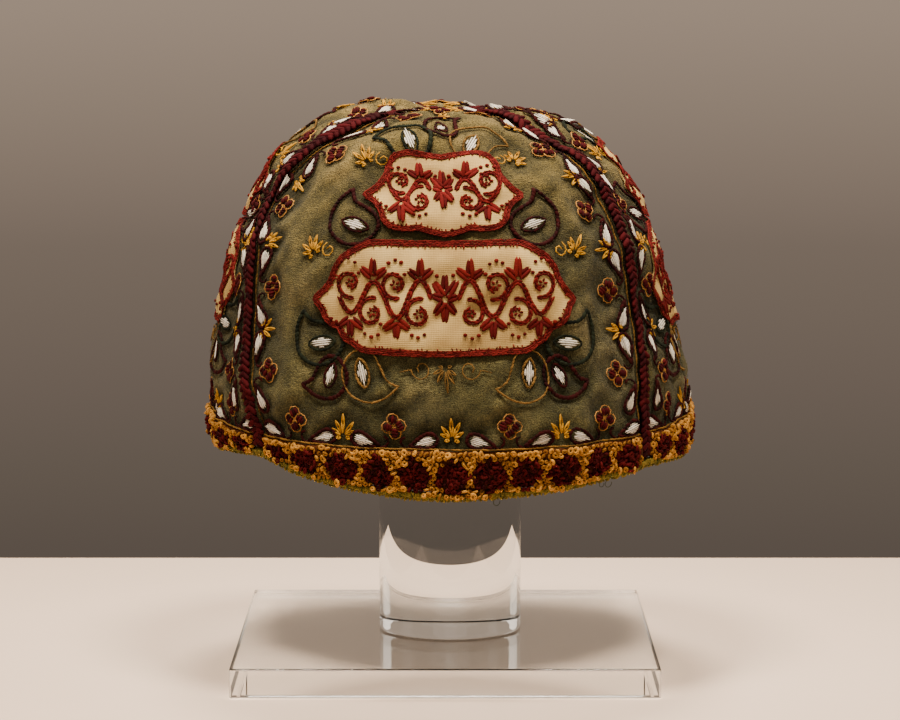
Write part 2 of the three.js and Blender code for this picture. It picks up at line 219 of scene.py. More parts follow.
def new_piece(name, mesh, finish, slot):
    """A shaded piece in the scene with its finish, which rides on the one body when it is given a slot."""
    piece = bpy.data.objects.new(name, mesh)
    scene.collection.objects.link(piece)
    mesh.materials.clear()
    mesh.materials.append(finish)
    mesh.polygons.foreach_set("use_smooth", [True] * len(mesh.polygons))
    if slot:
        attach(piece, "root")
    return piece


def new_mesh(name, points, faces):
    """A mesh from points in metres."""
    mesh = bpy.data.meshes.new(name)
    mesh.from_pydata(np.asarray(points).reshape(-1, 3).tolist(), [], [tuple(face) for face in faces])
    return mesh


# %% [markdown]
# ## The floor
# The floor is a pale square top, as of a plinth, so the room shows beyond its far edge from every
# side. Its colour is a little uneven, in Object coordinates, and carries painted light: lighter in the
# middle, it falls off towards the edges.

# %% The floor
FLOOR_HALF = 0.206
FLOOR_DROP = 0.0002  # a hair of air under the stand

floor_finish = Finish("floor", 0.5)
place = floor_finish.place()
distance = floor_finish.add("ShaderNodeVectorMath", {0: place}, operation="LENGTH").outputs["Value"]
# painted light: the floor is lighter in the middle and darker towards its edges, like a pool of lamplight
painted_light_falloff = floor_finish.add("ShaderNodeMapRange", {"Value": distance, "From Min": 0.08, "From Max": 0.3})
pale = floor_finish.ramp(painted_light_falloff.outputs["Result"], (0, linear(238, 213, 190)), (1, linear(218, 192, 168)))
cloud = floor_finish.noise(place, 9.0, 4.0)
floor_finish.set("Base Color", floor_finish.tint(pale, cloud, (0.3, grey(0.95)), (0.7, grey(1.0))))

corners = [(x * FLOOR_HALF, y * FLOOR_HALF, -FLOOR_DROP) for x, y in ((-1, -1), (1, -1), (1, 1), (-1, 1))]
floor_mesh = new_mesh("floor", corners, [(0, 1, 2, 3)])
new_piece("floor", floor_mesh, floor_finish.material, None)

# %% [markdown]
# ## The shape of the cloth
# One function gives every point of the cap's outside: turn round it by an azimuth, and climb the
# cloth by a length from the line where the band begins. The section is a short table of shares,
# smoothed by a Catmull-Rom curve. The front of the rim hangs lower than its sides, the body leans
# a little to the left and the plan swells at the four seams, as the photographed cap does.
# Sizes here are in millimetres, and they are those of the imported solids.

# %% Sizes of the cap
RIM_RADIUS = 86.5
CROWN_HEIGHT = 107.6
BAND_LINE = 94.5
PANEL_WALL = 3.0
RIM_DIP = 6.2
LEAN = 1.7
TOP_LEAN = 1.9
CORNER_SWELL = 3.9
SKIRT_TUCK = 1.5
HEM_DEPTH = 17.3
HEM_HEIGHT = 3.0
CLEARANCE = 0.3
TIP_RADIUS = 1.2
GROOVE_DEPTH = 1.6
GROOVE_WIDTH = 6.0
QUARTER = math.pi / 2

# rise as a share of the crown's height, reach as a share of the rim's radius
SECTION = [(0, 1), (0.14, 0.991), (0.3, 0.95), (0.45, 0.908), (0.6, 0.864), (0.74, 0.768), (0.84, 0.68),
           (0.92, 0.572), (0.97, 0.458), (0.992, 0.34), (1, 0.235), (1, 0)]
SIDES = ["front", "right", "back", "left"]
SEAMS = ["front_right", "back_right", "back_left", "front_left"]
PANEL_DROP = np.array([1, 0.86, 0.9, 0.66])  # shares of the hem's depth at each panel's middle
SEAM_DROP = np.array([0.66, 0.55, 0.55, 0.43])  # and at the seam to its right
SEAM_SIDE = [1, -1, 1, -1]  # the way from each seam to its side panel
MIDDLES = np.radians([0, 90.5, 180, 267.5])  # where each panel's motifs are centred
SPREAD = [1, 0.82, 1, 0.78]  # they are narrower on the narrower panels

# how far each seam bends into its side panel, in degrees, in even steps up the cloth
SEAM_BENDS = np.array([
    (4, 2, 4, 3), (5.5, 4, 5.5, 7), (7.5, 6, 7.5, 10), (8, 7, 8, 12.5), (7.5, 6.5, 7.5, 17),
    (6.5, 4, 6.5, 7), (2, 1.5, 2, -2), (0.5, 0, 0.5, -2), (0, 0, 0, 0),
])

# turn in panels, up as a share of the cloth, spread and width as shares of the rim's radius, and
# depth as a share of the wall
DENTS = [
    (0, 0.421, 0.36, 0.06, 0.45), (0.28, 0.6, 0.09, 0.11, 0.6), (-0.33, 0.68, 0.1, 0.08, 0.45),
    (1.05, 0.42, 0.3, 0.07, 0.5), (2.1, 0.5, 0.28, 0.09, 0.6), (1.8, 0.2, 0.16, 0.14, 0.4),
    (2.95, 0.43, 0.3, 0.07, 0.5),
]


def lengths_along(path):
    """How far along a path each of its points is."""
    return np.concatenate([[0], np.cumsum(np.linalg.norm(np.diff(path, axis=0), axis=1))])


def smooth_curve(points, steps=40):
    """A centripetal Catmull-Rom curve through points."""
    points = np.asarray(points, float)
    points = np.vstack([2 * points[0] - points[1], points, 2 * points[-1] - points[-2]])
    made = []
    for p0, p1, p2, p3 in zip(points, points[1:], points[2:], points[3:]):
        gaps = [max(np.linalg.norm(b - a) ** 0.5, 1e-4) for a, b in ((p0, p1), (p1, p2), (p2, p3))]
        t1, t2, t3 = np.cumsum(gaps)
        t = np.linspace(t1, t2, steps, endpoint=False)[:, None]
        a1 = p0 + (p1 - p0) * t / t1
        a2 = p1 + (p2 - p1) * (t - t1) / (t2 - t1)
        a3 = p2 + (p3 - p2) * (t - t2) / (t3 - t2)
        b1 = a1 + (a2 - a1) * t / t2
        b2 = a2 + (a3 - a2) * (t - t1) / (t3 - t1)
        made.append(b1 + (b2 - b1) * (t - t1) / (t2 - t1))
    return np.vstack(made + [points[-2][None]])


section_curve = smooth_curve([(reach * RIM_RADIUS, rise * CROWN_HEIGHT) for rise, reach in SECTION])
section_up = lengths_along(section_curve)
CLOTH_LENGTH = section_up[-1]
TIP_UP = CLOTH_LENGTH - TIP_RADIUS
print("cloth from band to top: %.1f mm" % CLOTH_LENGTH)


# %% The seams and the hem
def bend_curve(rows, steps=30):
    """Smooth values between the rows of a table, by the uniform Catmull-Rom rule."""
    padded = np.vstack([rows[:1], rows, rows[-1:]])
    slope = (padded[2:] - padded[:-2]) / 2
    w = (np.arange(steps) / steps)[:, None]
    spans = [a + w * sa + w ** 2 * (3 * (b - a) - 2 * sa - sb) + w ** 3 * (2 * (a - b) + sa + sb)
             for a, b, sa, sb in zip(rows, rows[1:], slope, slope[1:])]
    return np.vstack(spans + [rows[-1:]])


seam_bends = bend_curve(SEAM_BENDS)


def seam_azimuth(panel, up):
    """The seam at the right of a panel."""
    share = np.clip(np.asarray(up, float) / CLOTH_LENGTH, 0, 1)
    bend = np.interp(share, np.linspace(0, 1, len(seam_bends)), seam_bends[:, panel % 4])
    return (panel + 0.5) * QUARTER + SEAM_SIDE[panel % 4] * np.radians(bend)


SEAM_FEET = np.array([seam_azimuth(panel, 0) for panel in range(-1, 5)])


def panel_foot(panel):
    """The middle of a panel at the band line and half its width there, as azimuths."""
    left, right = SEAM_FEET[panel], SEAM_FEET[panel + 1]
    return (left + right) / 2, (right - left) / 2


def hem_drop(azimuth):
    """From the band line down to the hem: a shallow scallop on each panel."""
    turn = np.mod(azimuth, 2 * np.pi)
    panel = (turn[..., None] > SEAM_FEET[1:5]).sum(-1)
    middle, half = panel_foot(panel)
    across = (turn - middle) / half
    side = np.where(across < 0, SEAM_DROP[(panel - 1) % 4], SEAM_DROP[panel % 4])
    return HEM_DEPTH * (side + (PANEL_DROP[panel % 4] - side) * np.cos(np.pi / 2 * across))


# %% The unevenness of old padded cloth
CHANCE_SEED = 11  # the one seed of every random draw below
LONG_WAVES, SHORT_WAVES = (20, 42, 6), (7, 12, 5)  # shortest and longest in mm, and how many
PUFF = 1.7  # how far the crown of each panel stands out between its seams
SEAM_SINK = 1.9  # and how far the seams sink there
PUFF_START, PUFF_FULL = 0.6, 0.76  # as shares of the cloth's length
CROWN_DIP, DIP_REACH = 0.6, 17.0  # where the four points meet, the crown is sunk
TOP_UNEVENNESS = 0.6  # how much more uneven the crown is than the sides


def ease(x):
    x = np.clip(x, 0, 1)
    return x * x * (3 - 2 * x)


def reach_at(up):
    return np.interp(np.maximum(up, 0), section_up, section_curve[:, 0])


def dent_at(azimuth, up):
    depth = 0
    for turn, share, spread, width, deep in DENTS:
        turned = np.mod(azimuth - turn * QUARTER + np.pi, 2 * np.pi) - np.pi
        sideways = turned * reach_at(up) / (spread * RIM_RADIUS)
        upwards = (up - share * CLOTH_LENGTH) / (width * RIM_RADIUS)
        depth = depth + deep * PANEL_WALL * np.exp(-sideways ** 2 - upwards ** 2)
    return depth


chance = np.random.default_rng(CHANCE_SEED)
WAVE_LENGTHS = np.concatenate([chance.uniform(*LONG_WAVES), chance.uniform(*SHORT_WAVES)])
WAVE_HEIGHTS = np.where(WAVE_LENGTHS > 15, 0.38, 0.17)
WAVE_WAYS = chance.normal(size=(len(WAVE_LENGTHS), 3))
WAVE_WAYS /= np.linalg.norm(WAVE_WAYS, axis=1)[:, None]
WAVE_PHASES = chance.uniform(0, 2 * np.pi, len(WAVE_LENGTHS))


def ripple(points):
    phases = points @ (WAVE_WAYS / WAVE_LENGTHS[:, None]).T * 2 * np.pi + WAVE_PHASES
    return (np.sin(phases) * WAVE_HEIGHTS).sum(-1)


def crown_lift(azimuth, up):
    """How far the padded points of the panels stand over the seams between them."""
    if np.max(up) < PUFF_START * CLOTH_LENGTH:
        return 0 * up
    turn = np.mod(azimuth, 2 * np.pi)
    feet = np.stack([seam_azimuth(panel, up) for panel in range(-1, 5)])
    panel = (turn > feet[1:5]).sum(0)
    left = np.take_along_axis(feet, panel[None], 0)[0]
    right = np.take_along_axis(feet, panel[None] + 1, 0)[0]
    across = (2 * turn - left - right) / (right - left)
    fullness = ease((up / CLOTH_LENGTH - PUFF_START) / (PUFF_FULL - PUFF_START))
    puff = (PUFF * (1 - across ** 2) - SEAM_SINK) * fullness
    return puff - CROWN_DIP * np.exp(-(reach_at(up) / DIP_REACH) ** 2)


# %% Points of the cloth
NUDGE = 0.02  # radians across, and a tenth of the millimetres along, to find the way out


def on_cloth(azimuth, up):
    """A point on the outside of the cloth, up along it from the band line."""
    azimuth, up = np.broadcast_arrays(np.asarray(azimuth, float), np.asarray(up, float))
    below = np.minimum(up, 0)
    rise = np.interp(np.maximum(up, 0), section_up, section_curve[:, 1])
    reach = reach_at(up) + SKIRT_TUCK * below / hem_drop(azimuth)
    height = rise / CROWN_HEIGHT
    swell = CORNER_SWELL * (reach / RIM_RADIUS) * ease(2 * reach / RIM_RADIUS)
    radius = reach + swell * (1 - np.cos(4 * azimuth)) / 2 - dent_at(azimuth, up)
    around = np.stack([np.sin(azimuth), -np.cos(azimuth), 0 * azimuth], -1)
    lean = LEAN * ease(height / 0.3) + TOP_LEAN * ease((height - 0.62) / 0.38)
    dip = RIM_DIP * np.cos(azimuth) * (reach / RIM_RADIUS) * (1 - ease(height))
    point = around * radius[..., None] + np.stack([-lean, 0 * lean, BAND_LINE + rise + below - dip], -1)
    uneven = ripple(point) * ease(reach / 20) * (1 + TOP_UNEVENNESS * ease((height - 0.6) / 0.3))
    crown = ease((height - 0.75) / 0.25)  # here the cloth faces up
    way = around * (1 - crown)[..., None] + np.array([0, 0, 1]) * crown[..., None]
    return point + way * (uneven + crown_lift(azimuth, up))[..., None]


def outward(azimuth, up):
    across = on_cloth(azimuth + NUDGE, up) - on_cloth(azimuth - NUDGE, up)
    along = on_cloth(azimuth, up + 10 * NUDGE) - on_cloth(azimuth, up - 10 * NUDGE)
    out = np.cross(across, along)
    return out / np.linalg.norm(out, axis=-1, keepdims=True)


def over_cloth(azimuth, up, proud):
    """A point at a height over the cloth, with the way out of it there."""
    out = outward(azimuth, up)
    return on_cloth(azimuth, up) + out * np.asarray(proud)[..., None], out


def groove_at(panel, azimuth, up):
    """How far a panel is drawn in near its two seams."""
    near = np.minimum(seam_azimuth(panel, up) - azimuth, azimuth - seam_azimuth(panel - 1, up))
    return GROOVE_DEPTH * (1 - ease(near * reach_at(up) / GROOVE_WIDTH))


def over_panel(panel, azimuth, up, proud):
    """The same, over a panel's own face."""
    return over_cloth(azimuth, up, proud - groove_at(panel, azimuth, up))


# %% [markdown]
# ## A language for stitches
# Hand stitches are short, straight and many. So each one is written down only as where it starts
# and ends on the cloth, how wide and how high it is. The lists fill a sewing basket, one list for
# each piece of thread work, and Geometry Nodes turn each list into thread further down.
# A motif is drawn flat, in millimetres, around its own spot on a panel.

# %% The sewing basket
PLACE, ALONG, OUT, SIZE = slice(0, 3), slice(3, 6), slice(6, 9), slice(9, 12)  # in a stitch's row
basket = {}


def stitch_rows(middle, along, out, width, height, stretch=1.0):
    """Rows for stitches. A stretch lengthens them past their ends."""
    size = np.stack(np.broadcast_arrays(np.linalg.norm(along, axis=-1) * stretch, width, height), -1)
    return np.hstack([middle, along, out, size])


def keep_stitches(piece, kind, rows):
    basket.setdefault((piece, kind), []).append(rows)


def spot(panel, azimuth, up, turn=0.0, mirror=1):
    """A place for a motif: it maps flat points, in mm, to azimuth and up on the cloth."""
    cosine, sine = math.cos(turn), math.sin(turn)

    def place(points):
        x, y = np.asarray(points, float)[..., 0] * mirror, np.asarray(points, float)[..., 1]
        level = up + x * sine + y * cosine
        return azimuth + (x * cosine - y * sine) / reach_at(level), level

    place.panel = panel
    return place


def sew(piece, where, starts, ends, width, height, lift=0.0, kind="thread"):
    """Stitches of one piece, from starts to ends, as flat points around a spot."""
    starts, ends = np.atleast_2d(starts), np.atleast_2d(ends)
    first, _ = over_panel(where.panel, *where(starts), lift)
    last, _ = over_panel(where.panel, *where(ends), lift)
    middle, out = over_panel(where.panel, *where((starts + ends) / 2), lift)
    keep_stitches(piece, kind, stitch_rows(middle + out * height * 0.3, last - first, out, width, height))


def even_steps(path, pitch):
    """The same path with points at even steps of about the pitch."""
    path = np.asarray(path, float)
    run = lengths_along(path)
    at = np.linspace(0, run[-1], max(int(round(run[-1] / pitch)), 1) + 1)
    return np.stack([np.interp(at, run, path[:, k]) for k in (0, 1)], -1)


def ways(path):
    """Starts, ends, unit steps and left-hand sides of a path's spans."""
    starts, ends = path[:-1], path[1:]
    step = ends - starts
    step = step / np.maximum(np.linalg.norm(step, axis=1), 1e-6)[:, None]
    return starts, ends, step, np.stack([-step[:, 1], step[:, 0]], -1)


def chain_stitch(piece, where, path, width, pitch, height, lift):
    """A chain: each link is two plump arms that open forwards from one hole."""
    starts, ends, step, side = ways(even_steps(path, pitch))
    for hand in (-1, 1):
        tail = starts + hand * side * 0.08 * width - step * 0.15 * pitch
        head = ends + hand * side * 0.3 * width + step * 0.3 * pitch
        sew(piece, where, tail, head, width * 0.5, height, lift)


def stem_stitch(piece, where, path, width, pitch, height, lift=0.0):
    """A line of slanted stitches, each beside the end of the last, like a twisted cord."""
    starts, ends, step, side = ways(even_steps(path, pitch))
    slant, overlap = side * 0.2 * width, step * 0.3 * pitch
    sew(piece, where, starts - overlap + slant, ends + overlap - slant, width, height, lift)


# %% Flat shapes
def turn_by(angle):
    """A matrix that turns flat points, written as rows, by an angle."""
    cosine, sine = math.cos(angle), math.sin(angle)
    return np.array([[cosine, sine], [-sine, cosine]])


def polar(angle):
    """The flat point one millimetre away at an angle."""
    return np.array([[math.cos(angle), math.sin(angle)]])


def drop_shape(length, width, points=25):
    """A drop with its point at +x, as a closed flat path around its middle."""
    turn = np.linspace(0, 2 * np.pi, points)
    return np.stack([np.cos(turn) * length / 2, np.sin(turn) * np.sin(turn / 2) ** 1.4 * width * 0.62], -1)


def almond_shape(length, width):
    turn = np.linspace(0, 2 * np.pi, 21)
    return np.stack([np.cos(turn) * length / 2, np.sin(turn) * np.abs(np.sin(turn)) ** 0.5 * width / 2], -1)


def spiral(centre, start_radius, end_radius, start_angle, turns, points=26):
    angle = start_angle + np.linspace(0, turns * 2 * np.pi, points)
    radius = np.linspace(start_radius, end_radius, points)
    return np.stack([centre[0] + radius * np.cos(angle), centre[1] + radius * np.sin(angle)], -1)


def satin_fill(piece, where, shape, centre, angle, threads):
    """Smooth threads laid side by side along a shape."""
    half = np.abs(shape[:, 1]).max()
    for offset in np.linspace(-0.86, 0.86, threads) * half:
        inside = shape[np.abs(shape[:, 1]) >= abs(offset) * 0.98, 0]
        low, high = np.array([inside.min(), inside.max()]) + chance.uniform(-0.2, 0.2, 2)
        first, last = np.array([[low, offset], [high, offset]]) @ turn_by(angle) + centre
        dome = 0.3 * (1 - (offset / half) ** 2)
        sew(piece, where, first, last, 2.3 * half / threads, 0.55, dome)


# %% [markdown]
# ## The cartouches and their chain stitch
# Two pieces of cream cloth are cut to a traditional cusped outline and sewn on each panel. Their
# raw edge is hidden under two plaited rows of brick-red chain stitch, and a row of small
# stitches bites into the cloth on the inside. Half of each outline is charted, as shares of the
# cartouche's size, and mirrored.

# %% Cartouche outlines
LARGE_WIDTH, LARGE_HEIGHT, LARGE_RISE = 90.4, 35.2, 31.7
SMALL_WIDTH, SMALL_HEIGHT, CARTOUCHE_GAP = 55.0, 30.8, 2.9
SMALL_RISE = LARGE_RISE + LARGE_HEIGHT + CARTOUCHE_GAP
LARGE_OUTLINE = [(0, 0.99), (0.53, 1), (0.69, 0.92), (0.84, 0.74), (1, 0.46), (0.92, 0.31), (0.8, 0.22),
                 (0.69, 0.08), (0.575, 0.015), (0, 0)]
SMALL_OUTLINE = [(0, 0.935), (0.36, 1), (0.58, 0.97), (0.71, 0.72), (1, 0.44), (0.78, 0.26), (0.69, 0.1),
                 (0.33, 0.08), (0, 0)]
# how far each span of the half outline bulges, as a share of its length
LARGE_LOBES = [0, 0.05, 0.1, -0.1, -0.1, 0.14, 0.14, 0.08, 0]
SMALL_LOBES = [0.02, 0.05, 0.1, -0.08, -0.08, 0.14, 0.08, 0.03]
CARTOUCHES = {
    "large": (LARGE_WIDTH, LARGE_HEIGHT, LARGE_RISE, LARGE_OUTLINE, LARGE_LOBES),
    "small": (SMALL_WIDTH, SMALL_HEIGHT, SMALL_RISE, SMALL_OUTLINE, SMALL_LOBES),
}
CHAIN_ROW = 0.52  # each of the two rows is this far from the cut edge
BITTEN = 0.6  # the share of the bites that still show


def cartouche_path(size, panel):
    """The closed outline of a cartouche in mm, from its top round the right side."""
    width, height, rise, corners, lobes = CARTOUCHES[size]
    corners = np.array(corners, float) * (width * SPREAD[panel] / 2, height) + (0, rise)
    half = []
    for first, last, lobe in zip(corners, corners[1:], lobes):
        share = np.linspace(0, 1, 7)[:-1, None]
        span = last - first
        half.append(first + span * share + np.array([-span[1], span[0]]) * lobe * np.sin(np.pi * share))
    half = np.vstack(half + [corners[-1:]])
    return np.vstack([half, half[-2::-1] * (-1, 1)])


def shrunk(path, inset):
    """A closed path moved inwards by an inset, clockwise paths only."""
    starts, _, _, side = ways(even_steps(path, 1.0))
    return np.vstack([starts - side * inset, starts[:1] - side[:1] * inset])


for panel, name in enumerate(SIDES):
    piece = "cartouche_chain_" + name
    middle = spot(panel, MIDDLES[panel], 0)
    for size in CARTOUCHES:
        edge = cartouche_path(size, panel)
        for row in (-CHAIN_ROW, CHAIN_ROW):
            chain_stitch(piece, middle, shrunk(edge, row), 1.35, 1.6, 0.75, lift=0.55)
        starts, _, step, side = ways(even_steps(shrunk(edge, 0.9), 1.3))
        kept = chance.random(len(starts)) < BITTEN
        bite = side * chance.uniform(0.5, 1.1, len(starts))[:, None]
        bite = bite + step * chance.normal(0, 0.35, len(starts))[:, None]
        sew(piece, middle, starts[kept], (starts - bite)[kept], 0.6, 0.5, 0.9)
print("cartouche edge sewn, stitches:", sum(map(len, basket["cartouche_chain_front", "thread"])))

# %% [markdown]
# ## Scroll work on the cartouches
# Inside each cartouche a vine in dark red chain stitch winds out to both sides of a palmette, with
# tendrils, leaves and dots. It is a plain traditional scroll, charted here as a wave and spirals.

# %% The scroll
VINE_WIDTH, VINE_START = 2.2, 4.5
LEAF_WIDTH = 3.2
# middle and reach as shares of the cartouche, the vine's swing and crests, and the palmette's scale
SCROLLS = {"large": (0.49, 0.4, 6.6, 2, 1.0), "small": (0.5, 0.33, 5.0, 1, 0.85)}
PALMETTE = [(90, 9.5), (55, 7.4), (125, 7.4), (14, 4.4), (166, 4.4), (-90, 8), (-50, 6), (-130, 6)]
CREST_LEAVES = [(2.5, 5.4), (1.57, 6.4), (0.64, 5.4)]
# beside a crest: along the vine in mm, and up as a share of the crest's height
CREST_DOTS = np.array([(5.2, 1.25), (6.9, 1.1), (-5.6, 1.2), (-1.6, -1.78), (0.6, -1.92), (2.8, -1.78)])


def leaf(piece, where, base, angle, length):
    """A pointed leaf of two stitches that part from its base."""
    tip = length * polar(angle) + base
    for hand in (-1, 1):
        mid = np.array([[0.05 * length, hand * LEAF_WIDTH * 0.24]]) @ turn_by(angle)
        sew(piece, where, mid + base, tip + mid * 0.6, LEAF_WIDTH * 0.55, 0.75, 1.05)


def crest(piece, where, way, x, swing):
    """What grows on one crest of the vine: a tendril round a flower, three leaves and dots."""
    heart = np.array((x + 0.6, -way * swing * 0.7))
    tendril = spiral(heart, 4.9, 1.9, way * 1.9, way * -1.0, 32)
    chain_stitch(piece, where, tendril, VINE_WIDTH * 0.85, 1.5, 0.8, lift=1.0)
    for petal in range(5):
        outer = polar(petal * 2 * math.pi / 5)
        sew(piece, where, heart + outer * 0.35, heart + outer * 1.75, 1.05, 0.8, 1.1)
    top = way * swing * 0.97
    for lean, length in CREST_LEAVES:
        leaf(piece, where, (x, top), way * lean, length)
    dots = CREST_DOTS * (1, top) + (x, 0)
    sew(piece, where, dots - (0.75, 0), dots + (0.75, 0), 1.4, 0.9, 1.1)


def scroll_work(panel, size):
    piece = "scroll_work_" + SIDES[panel]
    width, height, rise = CARTOUCHES[size][:3]
    middle, reach, swing, crests, scale = SCROLLS[size]
    level = rise + height * middle
    span = width * SPREAD[panel] * reach - VINE_START
    x = np.linspace(VINE_START, VINE_START + span, 60)
    wave = np.sin((x - VINE_START) / span * crests * 2 * np.pi) * (1 - 0.25 * x / (VINE_START + span))
    for hand in (-1, 1):
        where = spot(panel, MIDDLES[panel], level, mirror=hand)
        chain_stitch(piece, where, np.stack([x, swing * wave], -1), VINE_WIDTH, 1.6, 0.8, lift=1.0)
        for turn in range(2 * crests):
            crest(piece, where, (1, -1)[turn % 2], VINE_START + span * (turn + 0.5) / (2 * crests), swing)
    where = spot(panel, MIDDLES[panel], level)
    for angle, length in PALMETTE:
        leaf(piece, where, (0, 0), math.radians(angle), length * scale)


for panel in range(4):
    for size in SCROLLS:
        scroll_work(panel, size)
print("scroll stitches on the front:", sum(map(len, basket["scroll_work_front", "thread"])))

# %% [markdown]
# ## Paisleys
# Each paisley is a bent drop in stem stitch with a white satin almond in it. One loop of points, in
# shares of the paisley's length, serves for all of them, turned and mirrored.

# %% Paisleys
PAISLEY = [(-0.21, 0.65), (-0.4, 0.42), (-0.49, 0.12), (-0.38, -0.2), (-0.08, -0.36), (0.25, -0.28),
           (0.42, -0.02), (0.33, 0.2), (0.1, 0.33), (-0.08, 0.42), (-0.17, 0.56), (-0.2, 0.65)]
# thread, across, up, length in mm, turn in degrees, mirrored, and the thread of its mirrored twin
PAISLEY_PAIRS = [
    ("maroon", -31.0, 73.0, 19.5, 0, 1, "maroon"),
    ("green", -42.5, 34.0, 19.0, 25, 1, "green"),
    ("maroon", -39.5, 23.6, 15.5, 89, 1, "maroon"),
    ("gold", -28.5, 25.0, 19.0, -93, -1, "gold"),
    ("green", -10.5, 105.3, 20.0, 106, -1, "gold"),
]
PAISLEY_TOP = ("maroon", 0.4, 113.5, 15.0, -58, 1)
PAISLEY_THICK = {"maroon": 1.6, "green": 1.6, "gold": 0.75}
ALMOND = np.array((0.43, 0.165))  # shares of the paisley's length
ALMOND_ANGLE = math.radians(-14)


def paisley(panel, thread, across, up, length, turn, mirror):
    outlines = thread + "_outlines_" + SIDES[panel]
    azimuth = MIDDLES[panel] + across * SPREAD[panel] / reach_at(up)
    where = spot(panel, azimuth, up, math.radians(turn + chance.uniform(-4, 4)), mirror)
    outline = smooth_curve(np.array(PAISLEY) * length, 8)
    stem_stitch(outlines, where, outline, PAISLEY_THICK[thread], 1.5, height=0.95)
    almond = almond_shape(*(ALMOND * length))
    satin_fill("white_satin_" + SIDES[panel], where, almond, np.zeros(2), ALMOND_ANGLE, 5)
    ring = almond_shape(*(ALMOND * length + (1.7, 1.5))) @ turn_by(ALMOND_ANGLE)
    stem_stitch(outlines, where, ring, 0.95, 1.3, height=0.7)


for panel in range(4):
    paisley(panel, *PAISLEY_TOP)
    for thread, across, up, length, turn, mirror, twin in PAISLEY_PAIRS:
        paisley(panel, thread, across, up, length, turn, mirror)
        paisley(panel, twin, -across, up, length, -turn, -mirror)
print("paisleys on a panel:", 1 + 2 * len(PAISLEY_PAIRS))

# %% [markdown]
# ## The border of drops, berries and sprigs
# Round three edges of each panel runs a border: a cluster of four maroon berries with two curled
# stems, each ending in a white satin drop, and a gold sprig between one cluster and the next.
# The same unit is set along the bottom and, turned, up both seams.

# %% Border motifs
BERRIES = [(0, 2.4), (-2.2, 0.1), (2.2, 0.1), (0, -2.2)]
BERRY_THREADS = (-0.95, 0, 0.95)
STEM = [(6.6, 1.7), (5.0, 0.9), (3.3, 1.1), (2.2, 2.4), (2.3, 4.0), (3.4, 4.6)]
BOTTOM_REACH, SIDE_REACH = 9.9, 8.6  # from the berries' middle to a drop's, along the border
DROP_TILT = math.radians(16)
SPRIG_LEAVES = [(0, 7.6), (-33, 6.0), (33, 6.0), (-64, 4.8), (64, 4.8), (-105, 2.6), (105, 2.6)]
SPRIG_FOOT = np.array([0, 4.0])


def berries(where, name, centre):
    askew = turn_by(chance.uniform(-0.35, 0.35)) * chance.uniform(0.92, 1.06)
    for berry in np.array(BERRIES) @ askew + centre:
        slant = math.radians(chance.uniform(0, 180))
        for offset in BERRY_THREADS:
            middle = berry + np.array([[0, offset]]) @ turn_by(slant)
            along = (1.45 - 0.3 * abs(offset)) * polar(slant)
            sew("berries_" + name, where, middle - along, middle + along, 1.3, 1.2, 0.1)
        ring = spiral(berry, 2.1, 2.1, 0, 1, 9)
        stem_stitch("peach_outlines_" + name, where, ring, 0.36, 1.5, height=0.36, lift=0.1)


def border_unit(where, name, reach):
    """Berries on two stems, each with a drop whose middle is at a reach along the border."""
    for hand in (-1, 1):
        stem = smooth_curve(np.array(STEM) * (hand * reach / BOTTOM_REACH, 1), 8)
        stem_stitch("maroon_outlines_" + name, where, stem, 0.95, 1.3, height=0.7)
        angle = math.pi + DROP_TILT if hand == 1 else -DROP_TILT
        centre = np.array([hand * reach, 2.9])
        drop = drop_shape(chance.uniform(7.9, 8.7), chance.uniform(3.5, 4.1))
        satin_fill("white_satin_" + name, where, drop, centre, angle, 6)
        ring = drop_shape(10.0, 5.6, 29) @ turn_by(angle) + centre
        stem_stitch("maroon_outlines_" + name, where, ring, 1.35, 1.45, height=1.0)
    berries(where, name, (0, 8.0))


def sprig(where, name, scale=1.0, piece="gold_work_", plump=1.0):
    for degrees, length in SPRIG_LEAVES:
        way = polar(math.radians(90 + degrees + chance.uniform(-6, 6)))
        side = way @ turn_by(QUARTER)
        size = length * scale * chance.uniform(0.9, 1.1)
        for offset in (-0.55, 0.55):
            swell = side * offset * scale
            outer = SPRIG_FOOT + way * size
            root, knee = SPRIG_FOOT + way * 0.9, SPRIG_FOOT + way * size * 0.62 + swell
            sew(piece + name, where, root, knee, 0.8 * plump, 0.75 * plump)
            sew(piece + name, where, SPRIG_FOOT + way * size * 0.5 + swell, outer, 0.75 * plump, 0.7 * plump)


def edge_spot(panel, hand, up, inset):
    """A spot beside a seam, with its x along the seam and its y into the panel."""
    seam = panel if hand == 1 else panel - 1
    azimuth = seam_azimuth(seam, up)
    slope = math.atan(reach_at(up) * (seam_azimuth(seam, up + 1) - seam_azimuth(seam, up - 1)) / 2)
    return spot(panel, azimuth - hand * inset / reach_at(up), up, hand * math.pi / 2 - slope)


# %% The border round each panel
BOTTOM_UNITS = (-0.75, -0.27, 0.27, 0.75)  # as shares of half the panel's width
BOTTOM_SPRIGS = (-0.51, 0, 0.51)
SIDE_UNITS = [21.0, 49.0, 77.0, 103.0, 128.0]
SIDE_SPRIGS = [35.0, 63.0, 90.0, 116.0, 140.0]
CROWN_SPRIG = 118.0
CROWN_BERRIES = 134.5
EDGE_INSET = 4.6

for panel, name in enumerate(SIDES):
    middle, half = panel_foot(panel)
    for share in BOTTOM_UNITS:
        border_unit(spot(panel, middle + share * half, 0), name, BOTTOM_REACH)
    for share in BOTTOM_SPRIGS:
        sprig(spot(panel, middle + share * half, 0), name)
    for hand in (-1, 1):
        for up in SIDE_UNITS:
            border_unit(edge_spot(panel, hand, up, EDGE_INSET), name, SIDE_REACH)
        for up in SIDE_SPRIGS:
            sprig(edge_spot(panel, hand, up, EDGE_INSET), name, 0.85)
    sprig(spot(panel, MIDDLES[panel], CROWN_SPRIG), name, 0.9)
    berries(spot(panel, MIDDLES[panel], CROWN_BERRIES), name, (0, 0))
print("border sewn round", len(SIDES), "panels")

